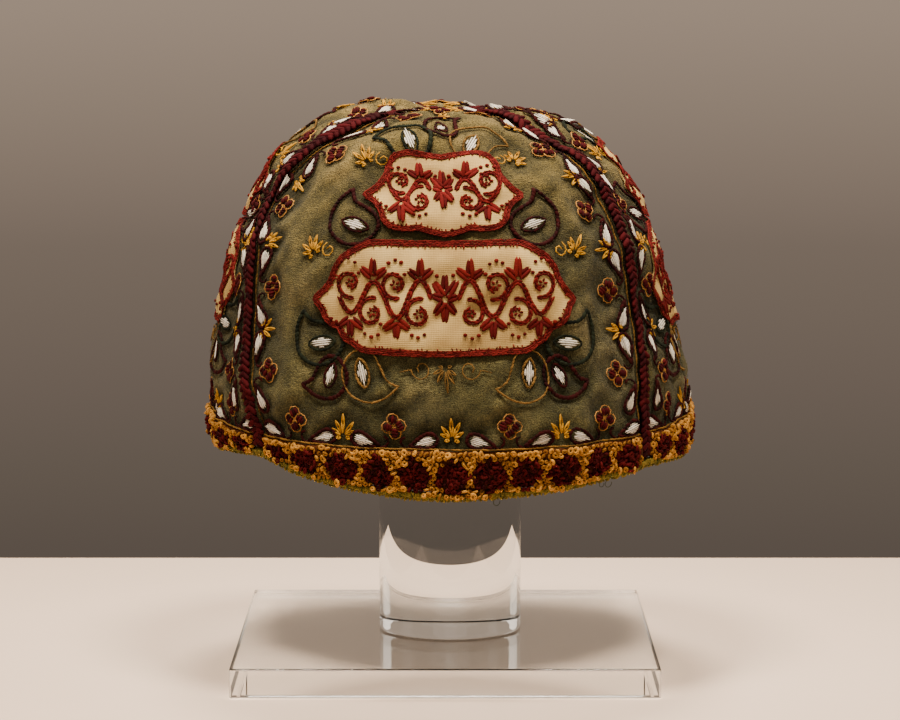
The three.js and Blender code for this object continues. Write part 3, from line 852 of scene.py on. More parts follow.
# %% [markdown]
# ## Sprigs and scrolls in the field
# Larger gold sprigs stand off the corners of the cartouches, with curled tendrils beside them, and
# a thin, worn one hangs under the large cartouche between two scrolls.

# %% Field sprigs
FIELD_SPRIGS = [(-24.5, 93.5), (-44.0, 59.5)]  # across and up
FIELD_TURN = math.radians(35)

for panel, name in enumerate(SIDES):
    for across, up in FIELD_SPRIGS:
        for hand in (-1, 1):
            azimuth = MIDDLES[panel] + hand * across * SPREAD[panel] / reach_at(up)
            where = spot(panel, azimuth, up, hand * FIELD_TURN)
            sprig(where, name, 0.95)
            curl = spiral((hand * 5.0, 2.0), 2.6, 0.8, math.pi / 2, hand * 1.1)
            stem_stitch("gold_work_" + name, where, curl, 0.55, 1.3, height=0.45)
    hanging = spot(panel, MIDDLES[panel], LARGE_RISE - 0.5, math.pi)
    sprig(hanging, name, 1.0, "gold_outlines_", 0.7)
    for hand in (-1, 1):
        scroll = spiral((hand * 8.2, 4.4), 3.6, 1.2, math.pi / 2 - hand * math.pi / 2, hand * 1.1)
        scroll = np.vstack([scroll[::-1], [(hand * 15.5, 5.4)]])
        stem_stitch("gold_outlines_" + name, hanging, scroll, 0.5, 1.4, height=0.4)

# %% [markdown]
# ## Cords along the panel edges
# A thin gold cord is couched along both folded edges of each panel and along the top of the band.

# %% Edge cords
CORD_INSET = 3.1
CORD_STOP = 0.9  # as a share of the cloth's length

for panel, name in enumerate(SIDES):
    for hand in (-1, 1):
        ups = np.linspace(1.5, CLOTH_LENGTH * CORD_STOP, 110)
        for first, last in zip(ups[:-1], ups[1:]):
            where = edge_spot(panel, hand, first, CORD_INSET)
            sew("edge_cord_" + name, where, (-0.2, 0.15), (last - first + 0.2, -0.15), 0.5, 0.5)
    middle, half = panel_foot(panel)
    line = np.array([(-half * RIM_RADIUS + 3, 0.5), (half * RIM_RADIUS - 3, 0.5)])
    stem_stitch("edge_cord_" + name, spot(panel, middle, 0), line, 0.7, 1.5, height=0.6, lift=0.5)

# %% [markdown]
# ## The knotted band
# The band is a field of small knots, set as close as they will go in staggered rows. Maroon knots
# make a row of blocks and ochre knots fill in above and below. Only the place and colour of each
# knot are worked out here.

# %% Knots of the band
KNOT = 1.85
BLOCK_PITCH, BLOCK_HALF = 13.0, 5.5
BLOCK_MIDDLE, BLOCK_SHARE = 0.56, 0.42  # a block's middle and half height, as shares of the band's depth
BAND_PROUD = 1.0
BAND_ROWS, FIRST_ROW, ROW_PITCH = 12, 0.9, 0.85  # how many, the first one's depth, the pitch in knots
BAND_END = 3.4  # the knots stop this far short of the seams
BAND_FOOT = 2.0  # the lowest knots lie over the hem, this far above its edge
HEM_STEP = 0.8  # how much further out the hem is than the band's ground
KNOT_TILT = 0.75  # how far the loops lean, as a share of upright

for panel, name in enumerate(SIDES):
    middle, half = panel_foot(panel)
    where = spot(panel, middle, 0)
    span = 2 * (half * RIM_RADIUS - BAND_END)
    pitch = span / round(span / BLOCK_PITCH)
    for row in range(BAND_ROWS):
        depth = FIRST_ROW + row * KNOT * ROW_PITCH
        x = np.arange(-span / 2 + 0.5 * KNOT * (row % 2), span / 2, KNOT)
        x = x + chance.uniform(-0.25, 0.25, len(x))
        skirt = hem_drop(middle + x / RIM_RADIUS) - BAND_FOOT
        x, skirt = x[depth < skirt], skirt[depth < skirt]
        from_block = np.abs(np.mod(x + span / 2, pitch) - pitch / 2) / BLOCK_HALF
        from_middle = np.abs(depth / skirt - BLOCK_MIDDLE) / BLOCK_SHARE
        maroon = from_block ** 1.5 + from_middle ** 1.5 < 1
        places = np.stack([x, -depth + chance.uniform(-0.25, 0.25, len(x))], -1)
        tilt = chance.uniform(0, 2 * np.pi, len(x))
        reach = 0.5 * KNOT * chance.uniform(0.8, 1.5, len(x))[:, None]
        arm = reach * np.stack([np.cos(tilt), np.sin(tilt)], -1)
        lift = BAND_PROUD + HEM_STEP * ease((depth - skirt + 2) / 2) + chance.uniform(-0.15, 0.25, len(x))
        for colour, chosen in (("maroon", maroon), ("ochre", ~maroon)):
            if chosen.any():
                piece = "band_knots_" + colour + "_" + name
                starts, ends = (places - arm)[chosen], (places + arm)[chosen]
                sew(piece, where, starts, ends, KNOT * 1.15, 2.1, lift[chosen], kind="knot")
                loops = basket[piece, "knot"][-1]
                loops[:, OUT] += chance.normal(0, KNOT_TILT, (len(loops), 3))

# %% [markdown]
# ## The seam braids
# A heavy crimson braid lies in the groove over each seam. It is plaited, so it shows plump strands
# that slant in from both sides and cross over a core.

# %% Strands of the braids
BRAID_WIDTH = 5.2
BRAID_PITCH = 2.2
BRAID_TAPER = 14  # the braid thins over this length below the crown
STRAND_WIDTH, STRAND_HEIGHT = 2.3, 1.6
# a strand's start, middle and end: steps up the seam, how far beside it and how proud
STRAND = [(0, 2.2, 0.3), (0.5, 0.9, 0.65), (1.05, -0.8, 0.85)]


def seam_points(panel, up, sideways, proud):
    """Points over a seam, from distances beside it, with the way out there."""
    return over_cloth(seam_azimuth(panel, up) + sideways / np.maximum(reach_at(up), 3), up, proud)


for panel, name in enumerate(SEAMS):
    low = -(hem_drop(SEAM_FEET[panel + 1]) - HEM_HEIGHT)
    ups = np.arange(low + 1, CLOTH_LENGTH - 1.6, BRAID_PITCH)
    taper = 0.45 + 0.55 * ease((CLOTH_LENGTH - ups) / BRAID_TAPER)
    for hand in (-1, 1):
        (begin, _), (middle, out), (end, _) = [
            seam_points(panel, ups + BRAID_PITCH * step, hand * beside * taper, proud)
            for step, beside, proud in STRAND]
        rows = stitch_rows(middle, end - begin, out, STRAND_WIDTH * taper, STRAND_HEIGHT, stretch=1.15)
        keep_stitches("braid_plait_" + name, "thread", rows)
print("braid strands on a seam:", 2 * len(ups))

# %% [markdown]
# ## The bound hem
# Yellow-green thread is wrapped over the raw edge all the way round, with a dark stitch every few
# millimetres that ties it down. Each wrap is a stitch that stands across the edge.

# %% Hem wraps
WRAP_PITCH = 0.95
TIE_EVERY = 4.4
# places on the hem: how high above the edge and how far out, in mm
UPPER, MIDDLE, EDGE_FOOT, INNER = (2.6, 1.3), (1.2, 1.7), (0.3, 0.2), (1.5, -2.6)


def hem_stitches(piece, pitch, width, height, from_place, to_place):
    """Stitches across the hem, from one place on it to another."""
    count = int(2 * math.pi * RIM_RADIUS / pitch)
    azimuth = np.arange(count) * 2 * math.pi / count + chance.uniform(-0.3, 0.3, count) / RIM_RADIUS
    drop = hem_drop(azimuth)
    slant = chance.uniform(-0.8, 0.8, count) / RIM_RADIUS
    ragged = chance.uniform(-0.35, 0.35, count)
    out = outward(azimuth, -drop)
    begin = on_cloth(azimuth, from_place[0] - drop) + out * (from_place[1] + ragged)[:, None]
    end = on_cloth(azimuth + slant, to_place[0] - drop + ragged) + out * to_place[1]
    rows = stitch_rows((begin + end) / 2, end - begin, out, width, height, stretch=1.25)
    keep_stitches(piece, "thread", rows)


for from_place, to_place in ((UPPER, MIDDLE), (MIDDLE, EDGE_FOOT), (EDGE_FOOT, INNER)):
    hem_stitches("hem_wraps", WRAP_PITCH, 1.1, 0.9, from_place, to_place)
hem_stitches("hem_ties", TIE_EVERY, 0.7, 0.8, (2.2, 1.7), (0.6, 1.4))

# %% [markdown]
# ## Geometry Nodes turn the lists into thread
# The list of a piece becomes a cloud of points that carry three vectors each: the way along the
# stitch, the way out of the cloth, and the stitch's size. One node tree puts a plump oval on each
# point, or a small ring for a knot, turns it to those vectors and gives it a shade of its own.
# The tree ends in Realize Instances and Set Material, and its result is kept as a plain mesh.

# %% The stitch trees
RING_RADIUS, RING_THICKNESS, RING_STEPS = 0.32, 0.22, 8  # radii as shares of the knot's size
OVAL_RINGS = 4


def start_tree(name, *inputs):
    """A Geometry Nodes tree with inputs, and the sockets that carry them."""
    graph = Graph(bpy.data.node_groups.new(name, "GeometryNodeTree"))
    face = graph.tree.interface
    face.new_socket("Geometry", in_out="INPUT", socket_type="NodeSocketGeometry")
    for key, kind in inputs:
        face.new_socket(key, in_out="INPUT", socket_type="NodeSocket" + kind)
    face.new_socket("Geometry", in_out="OUTPUT", socket_type="NodeSocketGeometry")
    return graph, graph.add("NodeGroupInput").outputs


def end_tree(graph, instances, material):
    """The tree, once it makes its instances real and dyes them."""
    real = graph.add("GeometryNodeRealizeInstances", {"Geometry": instances}).outputs["Geometry"]
    dyed = graph.add("GeometryNodeSetMaterial", {"Geometry": real, "Material": material})
    graph.add("NodeGroupOutput", {"Geometry": dyed.outputs["Geometry"]})
    return graph.tree


def stitch_tree(kind):
    """A tree that sews a thread or a knot on every point."""
    graph, given = start_tree("sew_" + kind, ("Sides", "Int"), ("Unevenness", "Float"), ("Seed", "Int"),
                              ("Thread", "Material"))
    add = graph.add

    def vector(name):
        node = add("GeometryNodeInputNamedAttribute", {"Name": name}, data_type="FLOAT_VECTOR")
        return node.outputs["Attribute"]

    if kind == "thread":
        links = {"Rings": OVAL_RINGS, "Radius": 0.5, "Segments": given["Sides"]}
        oval = add("GeometryNodeMeshUVSphere", links).outputs["Mesh"]
        laid = add("GeometryNodeTransform", {"Geometry": oval, "Rotation": (0, math.pi / 2, 0)})
        shape = laid.outputs["Geometry"]
    else:
        circle = "GeometryNodeCurvePrimitiveCircle"
        ring = add(circle, {"Resolution": RING_STEPS, "Radius": RING_RADIUS}).outputs["Curve"]
        strand = add(circle, {"Resolution": given["Sides"], "Radius": RING_THICKNESS}).outputs["Curve"]
        shape = add("GeometryNodeCurveToMesh", {"Curve": ring, "Profile Curve": strand}).outputs["Mesh"]

    align = "FunctionNodeAlignRotationToVector"
    upright = add(align, {"Vector": vector("out")}, axis="Z").outputs["Rotation"]
    links = {"Rotation": upright, "Vector": vector("along")}
    turned = add(align, links, axis="X", pivot_axis="Z").outputs["Rotation"]

    lowest, highest = [add("ShaderNodeMath", {0: 1.0, 1: given["Unevenness"]}, operation=operation).outputs[0]
                       for operation in ("SUBTRACT", "ADD")]
    swell = add("FunctionNodeRandomValue", {2: lowest, 3: highest, "Seed": given["Seed"]}).outputs[1]
    links = {0: vector("size"), "Scale": swell}
    scale = add("ShaderNodeVectorMath", links, operation="SCALE").outputs["Vector"]

    links = {"Points": given["Geometry"], "Instance": shape, "Rotation": turned, "Scale": scale}
    sown = add("GeometryNodeInstanceOnPoints", links).outputs["Instances"]
    shade = add("FunctionNodeRandomValue", {"Seed": given["Seed"]}).outputs[1]
    links = {"Name": "shade", "Geometry": sown, "Value": shade}
    kept = add("GeometryNodeStoreNamedAttribute", links, data_type="FLOAT", domain="INSTANCE")
    return end_tree(graph, kept.outputs["Geometry"], given["Thread"])


TREES = {"thread": stitch_tree("thread"), "knot": stitch_tree("knot")}


def grown(name, base, tree, **inputs):
    """The mesh that a tree makes from a base mesh, as plain data."""
    carrier = bpy.data.objects.new(name, base)
    scene.collection.objects.link(carrier)
    modifier = carrier.modifiers.new("made", "NODES")
    modifier.node_group = tree
    sockets = {item.name: item.identifier for item in tree.interface.items_tree if item.in_out == "INPUT"}
    for key, value in inputs.items():
        modifier[sockets[key]] = value
    seen = carrier.evaluated_get(bpy.context.evaluated_depsgraph_get())
    mesh = bpy.data.meshes.new_from_object(seen)
    mesh.name = name
    bpy.data.objects.remove(carrier)
    return mesh


def thread_points(rows):
    """A cloud of points in metres with the vectors along, out and size."""
    rows = np.vstack(rows)
    cloud = new_mesh("points", rows[:, PLACE] * MM, [])
    for columns, key, unit in ((ALONG, "along", MM), (OUT, "out", 1), (SIZE, "size", MM)):
        attribute = cloud.attributes.new(key, "FLOAT_VECTOR", "POINT")
        attribute.data.foreach_set("vector", (rows[:, columns] * unit).ravel())
    return cloud


# %% [markdown]
# ## Thread finishes
# Thread is matt silk or wool: a base colour that shifts a little from stitch to stitch, and a
# fine grain along its fibres. The shade of each stitch comes from the tree above.

# %% Thread
# the finish, its darkest and lightest colour, the slot, and roughness and shine where not dull
THREADS = {
    "cartouche_chain": ("brick_red_thread", (76, 13, 12), (124, 35, 28), "braid"),
    "scroll_work": ("dark_red_thread", (72, 11, 11), (116, 27, 22), "braid"),
    "maroon_outlines": ("maroon_thread", (27, 6, 6), (56, 13, 11), "braid"),
    "berries": ("berry_thread", (40, 6, 8), (76, 14, 15), "braid"),
    "green_outlines": ("bottle_green_thread", (15, 18, 12), (34, 39, 25), "hem_thread"),
    "gold_outlines": ("old_gold_thread", (92, 66, 28), (138, 102, 50), "band_thread"),
    "edge_cord": ("dull_gold_cord", (88, 62, 24), (140, 100, 42), "band_thread"),
    "gold_work": ("gold_thread", (142, 94, 18), (208, 152, 42), "band_thread", 0.7, 0.1),
    "peach_outlines": ("peach_thread", (150, 98, 44), (206, 148, 78), "band_thread"),
    "white_satin": ("white_silk", (208, 197, 178), (244, 234, 216), "cream_cloth", 0.5, 0.25),
    "band_knots_maroon": ("band_maroon_thread", (44, 6, 8), (86, 16, 15), "braid"),
    "band_knots_ochre": ("band_ochre_thread", (122, 76, 26), (200, 142, 60), "band_thread"),
    "braid_plait": ("crimson_braid", (38, 4, 7), (74, 11, 15), "braid"),
    "hem_wraps": ("hem_green_thread", (70, 64, 24), (134, 112, 40), "hem_thread"),
    "hem_ties": ("dark_tie_thread", (48, 52, 22), (70, 72, 32), "hem_thread"),
}
UNEVENNESS = {"thread": 0.12, "knot": 0.22}
THREAD_SIDES = 5


def thread_finish(name, dark, light, slot, roughness=0.85, shine=0.08):
    """A thread's material with the slot it goes in."""
    finish = Finish(name, roughness)
    shade = finish.add("ShaderNodeAttribute", attribute_name="shade").outputs["Fac"]
    grain = finish.noise(finish.place(), 2600.0, 2.0)
    tone = finish.ramp(shade, (0, linear(*dark)), (1, linear(*light)))
    finish.set("Base Color", finish.tint(tone, grain, (0.3, grey(0.62)), (0.7, grey(1.12))))
    finish.set("Specular IOR Level", shine)
    finish.bump(grain, 0.5, 0.0003)
    return finish.material, slot


dyed = {family: thread_finish(*recipe) for family, recipe in THREADS.items()}

for seed, ((piece, kind), rows) in enumerate(sorted(basket.items())):
    material, slot = next(dyed[family] for family in THREADS if piece.startswith(family))
    mesh = grown(piece, thread_points(rows), TREES[kind], Sides=THREAD_SIDES, Unevenness=UNEVENNESS[kind],
                 Seed=seed, Thread=material)
    new_piece(piece, mesh, material, slot)
    if piece.endswith(("_front", "_front_right")) or piece.startswith("hem"):
        print("%s: %d stitches, %d faces" % (piece, sum(map(len, rows)), len(mesh.polygons)))

# %% [markdown]
# ## Wool, padded and pulled
# Each panel is one closed shell of wool. Where a stitch passes through the padding it pulls the
# cloth in, so the wool swells between the lines of thread. A tree of stitch positions finds, for
# each point of the mesh, how near the closest stitch is.


# %% Wool finish
def wool_finish():
    finish = Finish("olive_wool", 0.93)
    where = finish.place()
    tone = finish.ramp(finish.noise(where, 38.0, 5.0), (0.3, linear(76, 71, 40)), (0.5, linear(105, 96, 58)),
                       (0.72, linear(133, 119, 79)))
    # painted shade and light: by height, the wool is tinted darker and cooler low down and lighter and warmer
    # towards the crown, as lamps from above light it
    level = finish.add("ShaderNodeSeparateXYZ", {0: where}).outputs["Z"]
    painted_height_shade = finish.add("ShaderNodeMapRange", {"Value": level, "From Min": 0.1, "From Max": 0.19})
    tone = finish.tint(tone, painted_height_shade.outputs["Result"], (0, (0.58, 0.63, 0.67)), (0.5, (0.59, 0.61, 0.66)),
                       (1, (0.7, 0.66, 0.58)))
    # wear and painted shade: lighter where the wool stands proud and is worn, darker in its hollows and right
    # beside the stitches, where shade falls
    worn = finish.add("ShaderNodeAttribute", attribute_name="worn").outputs["Fac"]
    tone = finish.tint(tone, worn, (0.15, (0.6, 0.62, 0.6)), (0.5, grey(0.92)), (0.9, (1.4, 1.34, 1.26)))
    mottle = finish.noise(where, 210.0, 4.0)
    tone = finish.tint(tone, mottle, (0.32, (0.66, 0.68, 0.68)), (0.68, (1.34, 1.31, 1.26)))
    fleck = finish.noise(where, 2300.0, 3.0)
    tone = finish.tint(tone, fleck, (0.32, (0.58, 0.58, 0.56)), (0.5, grey(0.95)), (0.7, (1.5, 1.46, 1.34)))
    uv = finish.add("ShaderNodeUVMap", uv_map="UVMap").outputs["UV"]
    hairs = []
    for scale in ((5.0, 24.0, 1.0), (24.0, 5.0, 1.0)):
        drawn = finish.add("ShaderNodeMapping", {"Vector": uv, "Scale": scale}).outputs["Vector"]
        hairs.append(finish.noise(drawn, 1.0, 2.0))
    hair = finish.add("ShaderNodeMath", {0: hairs[0], 1: hairs[1]}, operation="MAXIMUM").outputs[0]
    finish.set("Base Color", finish.tint(tone, hair, (0.42, (0.74, 0.74, 0.72)), (0.72, (1.28, 1.26, 1.2))))
    finish.set("Sheen Weight", 0.05)
    finish.set("Specular IOR Level", 0.15)
    finish.bump(finish.add("ShaderNodeMath", {0: fleck, 1: hair}, operation="ADD").outputs[0], 1.0, 0.0008)
    return finish.material


WOOL = wool_finish()


# %% Meshes of the panels
PANEL_COLUMNS, PANEL_ROWS = 92, 104
COLUMN_CROWDING = 1.25  # the columns stand closer together towards the seams
PULL_DEPTH, PULL_REACH = 1.25, 2.8


def grid_quads(number):
    """The quads of a grid, from the numbers of its points."""
    return np.stack([number[:-1, :-1], number[:-1, 1:], number[1:, 1:], number[1:, :-1]], -1).reshape(-1, 4)


def shell_mesh(name, outer, inner):
    """A closed wall between two grids of points, rows from the bottom up."""
    rows, columns = outer.shape[:2]
    number = np.arange(rows * columns).reshape(rows, columns)
    back = number + rows * columns
    edges = [(number[::-1, 0], back[::-1, 0]), (number[:, -1], back[:, -1]),
             (number[0], back[0]), (number[-1, ::-1], back[-1, ::-1])]
    rims = [grid_quads(np.stack([far, near])) for near, far in edges]
    faces = np.vstack([grid_quads(number), grid_quads(back)[:, ::-1], *rims])
    return new_mesh(name, np.concatenate([outer, inner]) * MM, faces)


def stitch_finder(name):
    """A tree of the places on a panel where thread goes through the cloth."""
    rows = [np.vstack(lists) for (piece, kind), lists in basket.items()
            if piece.endswith("_" + name) and not piece.startswith(("band", "braid", "scroll"))]
    return finder_of(np.vstack(rows)[:, PLACE])


def finder_of(places):
    """A tree that finds the closest of some places."""
    finder = kdtree.KDTree(len(places))
    for index, point in enumerate(places):
        finder.insert(point, index)
    finder.balance()
    return finder


def panel_grid(panel):
    """Azimuths and lengths up the cloth of a panel's points."""
    share = np.sin(np.linspace(-1, 1, PANEL_COLUMNS) * COLUMN_CROWDING) / math.sin(COLUMN_CROWDING)
    middle, half_foot = panel_foot(panel)
    low = -(hem_drop(middle + share * half_foot) - HEM_HEIGHT - CLEARANCE)
    up = low + (TIP_UP - low) * np.linspace(0, 1, PANEL_ROWS)[:, None]
    left, right = seam_azimuth(panel - 1, up), seam_azimuth(panel, up)
    half = (right - left) / 2 - CLEARANCE / 2 / reach_at(up)
    return (left + right) / 2 + share * half, up


def weave_map(mesh, weave):
    """A UV map that holds centimetres on the cloth, from a place for each point."""
    corners = np.array([loop.vertex_index for loop in mesh.loops]) % len(weave)
    mesh.uv_layers.new(name="UVMap").data.foreach_set("uv", weave[corners].ravel())


for panel, name in enumerate(SIDES):
    azimuth, up = panel_grid(panel)
    face, out = over_panel(panel, azimuth, up, 0)
    finder = stitch_finder(name)
    near = np.array([finder.find(point)[2] for point in face.reshape(-1, 3)]).reshape(up.shape)
    pulled = face - out * (PULL_DEPTH * (np.exp(-(near / PULL_REACH) ** 2) - 0.35))[..., None]
    inner, _ = over_panel(panel, azimuth, up, -PANEL_WALL)
    panel_mesh = shell_mesh("wool_panel_" + name, pulled, inner)
    weave_map(panel_mesh, np.stack([(azimuth - panel * QUARTER) * reach_at(up), up], -1).reshape(-1, 2) / 10)
    # wear and painted shade for the wool: proud ripples and cloth far from stitches are lighter, ripple
    # hollows and the creases beside the stitches darker
    proud = ripple(face) / WAVE_HEIGHTS.sum() * 1.6 + 0.5
    proud = proud + 0.22 * ease(near / 6) - 0.2 * np.exp(-(near / 1.6) ** 2)
    worn = panel_mesh.attributes.new("worn", "FLOAT", "POINT")
    worn.data.foreach_set("value", np.tile(np.clip(proud, 0, 1).ravel(), 2))
    piece = new_piece("wool_panel_" + name, panel_mesh, WOOL, "wool")
    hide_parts("panel_" + name)
print("wool panel faces:", len(panel_mesh.polygons))


# %% [markdown]
# ## Cream cloth in the cartouches
# The cut cloth is filled with a fine triangle mesh inside its outline, laid a little proud of the
# wool and given a wall. Its weave follows its own UV map.

# %% Cream cloth
def cloth_finish():
    finish = Finish("cream_cloth", 0.9)
    uv = finish.add("ShaderNodeUVMap", uv_map="UVMap").outputs["UV"]
    links = {"Vector": uv, "Scale": 5.5, "Distortion": 1.0, "Detail": 1.0}
    weave = [finish.add("ShaderNodeTexWave", links, bands_direction=way).outputs["Color"] for way in "XY"]
    threads = finish.mix(0.5, *weave)
    stain = finish.noise(finish.place(), 60.0, 4.0)
    tone = finish.ramp(stain, (0.3, linear(172, 138, 84)), (0.55, linear(204, 170, 106)),
                       (0.75, linear(224, 194, 128)))
    finish.set("Base Color", finish.tint(tone, threads, (0.2, (0.86, 0.85, 0.83)), (0.8, grey(1.05))))
    finish.set("Specular IOR Level", 0.08)
    finish.bump(threads, 0.35, 0.0003)
    return finish.material


CREAM = cloth_finish()
CREAM_STEP = 1.6
CREAM_WALL = 0.7


def cream_mesh(name, size, panel):
    edge = even_steps(cartouche_path(size, panel), CREAM_STEP)[:-1][::-1]
    spans = [np.arange(low, high, CREAM_STEP) for low, high in zip(edge.min(0), edge.max(0))]
    grid = np.stack(np.meshgrid(*spans), -1).reshape(-1, 2) + 0.37 * CREAM_STEP
    count = len(edge)
    border = [(k, (k + 1) % count) for k in range(count)]
    points = [Vector(p) for p in np.vstack([edge, grid])]
    flat, _, faces, *_ = delaunay_2d_cdt(points, border, [tuple(range(count))], 1, 1e-4)
    flat = np.array([tuple(p) for p in flat])
    finder = finder_of([(x, y, 0) for x, y in edge])
    inset = np.array([finder.find((x, y, 0))[2] for x, y in flat])
    azimuth, up = spot(panel, MIDDLES[panel], 0)(flat)
    body, _ = over_panel(panel, azimuth, up, 0.5 + 0.5 * ease(inset / 5))
    mesh = new_mesh(name, body * MM, faces)
    weave_map(mesh, flat / 10)
    return mesh


for panel, name in enumerate(SIDES):
    for size in CARTOUCHES:
        piece_name = "cream_cloth_%s_%s" % (size, name)
        piece = new_piece(piece_name, cream_mesh(piece_name, size, panel), CREAM, "cream_cloth")
        wall = piece.modifiers.new("wall", "SOLIDIFY")
        wall.thickness = CREAM_WALL * MM
        wall.offset = -1
        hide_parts("cartouche_%s_%s" % (size, name))
        cut = cartouche_path(size, panel) * MM
        area = abs(np.sum(cut[:-1, 0] * cut[1:, 1] - cut[1:, 0] * cut[:-1, 1])) / 2


# %% [markdown]
# ## Ground cloth of the band, core of the braids and roll of the hem
# Under the knots lies a strip of dark cloth, under the plait a flat core, and under the wraps a
# roll. They are plain bodies that hold the thread up and close the gaps between stitches.

# %% The band's ground cloth
def dark_cloth(name, colour):
    finish = Finish(name, 0.95)
    grain = finish.noise(finish.place(), 1500.0, 2.0)
    dark = linear(*[c * 0.6 for c in colour])
    finish.set("Base Color", finish.ramp(grain, (0.3, dark), (0.7, linear(*colour))))
    finish.set("Specular IOR Level", 0.05)
    finish.bump(grain, 0.6, 0.0004)
    return finish.material


GROUND = dark_cloth("band_ground", (84, 44, 20))
CORE = dark_cloth("braid_core", (40, 5, 8))
ROLL = dark_cloth("hem_roll", (120, 108, 44))
# rows down the band, as shares of its depth, and how full the cloth is in each
BAND_DOWN = np.array([1, 0.85, 0.5, 0.15, 0])[:, None]
BAND_FULLNESS = np.array([0.5, 0.9, 1, 0.9, 0.5])[:, None]

for panel, name in enumerate(SIDES):
    middle, half = panel_foot(panel)
    azimuth = middle + np.linspace(-1, 1, 60) * (half - (BRAID_WIDTH / 2 + CLEARANCE) / RIM_RADIUS)
    up = -BAND_DOWN * (hem_drop(azimuth) - HEM_HEIGHT - CLEARANCE)
    azimuth = np.broadcast_to(azimuth, up.shape)
    outer, _ = over_cloth(azimuth, up, 0.3 + 0.9 * BAND_FULLNESS)
    inner, _ = over_cloth(azimuth, up, 0.25)
    mesh = shell_mesh("band_cloth_" + name, outer, inner)
    piece = new_piece("band_cloth_" + name, mesh, GROUND, "band_thread")
    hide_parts("band_" + name)


# %% Core of the braids and roll of the hem
BRAID_FLOOR = 2 * CLEARANCE - GROOVE_DEPTH
CORE_SIDES, ROLL_SIDES = 10, 12
CORE_HALF, CORE_HIGH = 1.9, 0.95
ROLL_HALF, ROLL_HIGH, ROLL_INSET = 2.3, 1.25, 0.55


def tube_mesh(name, rings, closed):
    """A tube through rings of points, closed on itself or capped."""
    rings = np.asarray(rings) * MM
    count, sides = rings.shape[:2]
    faces = []
    for row in range(count if closed else count - 1):
        for side in range(sides):
            here, there = row * sides, (row + 1) % count * sides
            beside = (side + 1) % sides
            faces.append((here + side, here + beside, there + beside, there + side))
    if not closed:
        faces.append(tuple(range(sides))[::-1])
        faces.append(tuple((count - 1) * sides + side for side in range(sides)))
    return new_mesh(name, rings, faces)


for panel, name in enumerate(SEAMS):
    low = -(hem_drop(SEAM_FEET[panel + 1]) - HEM_HEIGHT - CLEARANCE)
    ups = np.append(np.linspace(low, CLOTH_LENGTH - 4, 90), CLOTH_LENGTH - 1.8)
    taper = 0.4 + 0.6 * ease((CLOTH_LENGTH - ups) / BRAID_TAPER)
    rings = []
    for turn in np.arange(CORE_SIDES) * 2 * math.pi / CORE_SIDES:
        proud = BRAID_FLOOR + 1.1 + math.sin(turn) * CORE_HIGH * taper
        rings.append(seam_points(panel, ups, -math.cos(turn) * CORE_HALF * taper, proud)[0])
    piece = new_piece("braid_core_" + name, tube_mesh("core", np.swapaxes(rings, 0, 1), False), CORE, "braid")
    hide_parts("seam_braid_" + name)

azimuth = np.linspace(0, 2 * math.pi, 240, endpoint=False)
drop = hem_drop(azimuth)
out = outward(azimuth, -drop)
rings = []
for turn in np.arange(ROLL_SIDES) * 2 * math.pi / ROLL_SIDES:
    high = -(drop - HEM_HEIGHT / 2) - ROLL_HIGH * math.sin(turn)
    rings.append(on_cloth(azimuth, high) + out * (ROLL_HALF * math.cos(turn) - ROLL_INSET))
hem_piece = new_piece("hem_roll", tube_mesh("hem_roll", np.swapaxes(rings, 0, 1), True), ROLL, "hem_thread")
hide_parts("hem_edge")

# %% [markdown]
# ## Loose ends
# Old thread frays. Three fine dark loops hang from the hem. Each is a thin tube on a curled path.

# %% Loose thread ends
LOOSE = [(0.19, 1.15, 1.0), (0.63, 0.9, -1.0), (0.66, 1.2, 1.0)]  # azimuth, radius, way
LOOSE_THICK = 0.24

loose_rows = []
for azimuth, radius, way in LOOSE:
    angle = np.linspace(0.5 * math.pi, 2.1 * math.pi, 16) * way
    down = radius * (1 - np.sin(np.abs(angle)))
    at = azimuth + radius * np.cos(angle) / RIM_RADIUS
    drop = hem_drop(at)
    out = outward(at, -drop)
    path = on_cloth(at, -drop - 0.05 * down) - np.stack([0 * down, 0 * down, down], -1) + out * 0.6
    first, last = path[:-1], path[1:]
    rows = stitch_rows((first + last) / 2, last - first, out[1:], LOOSE_THICK, LOOSE_THICK, stretch=1.5)
    loose_rows.append(rows)
material, slot = dyed["hem_ties"]
loose_mesh = grown("loose_threads", thread_points(loose_rows), TREES["thread"], Sides=THREAD_SIDES,
                   Unevenness=0.05, Seed=2, Thread=material)
new_piece("loose_threads", loose_mesh, material, slot)

# %% [markdown]
# ## Nap on the wool
# Close up, old wool is hairy. A second tree scatters short bent fibres over the outside of each
# panel. Each is only a sliver, so thousands of them stay light, and they soften the outline.

# %% Nap
NAP_PER_PANEL = 5200
FIBRE_LENGTH, FIBRE_WIDTH = 0.001, 0.0001
FIBRE_TILT = (1.25, 1.25, 3.14)


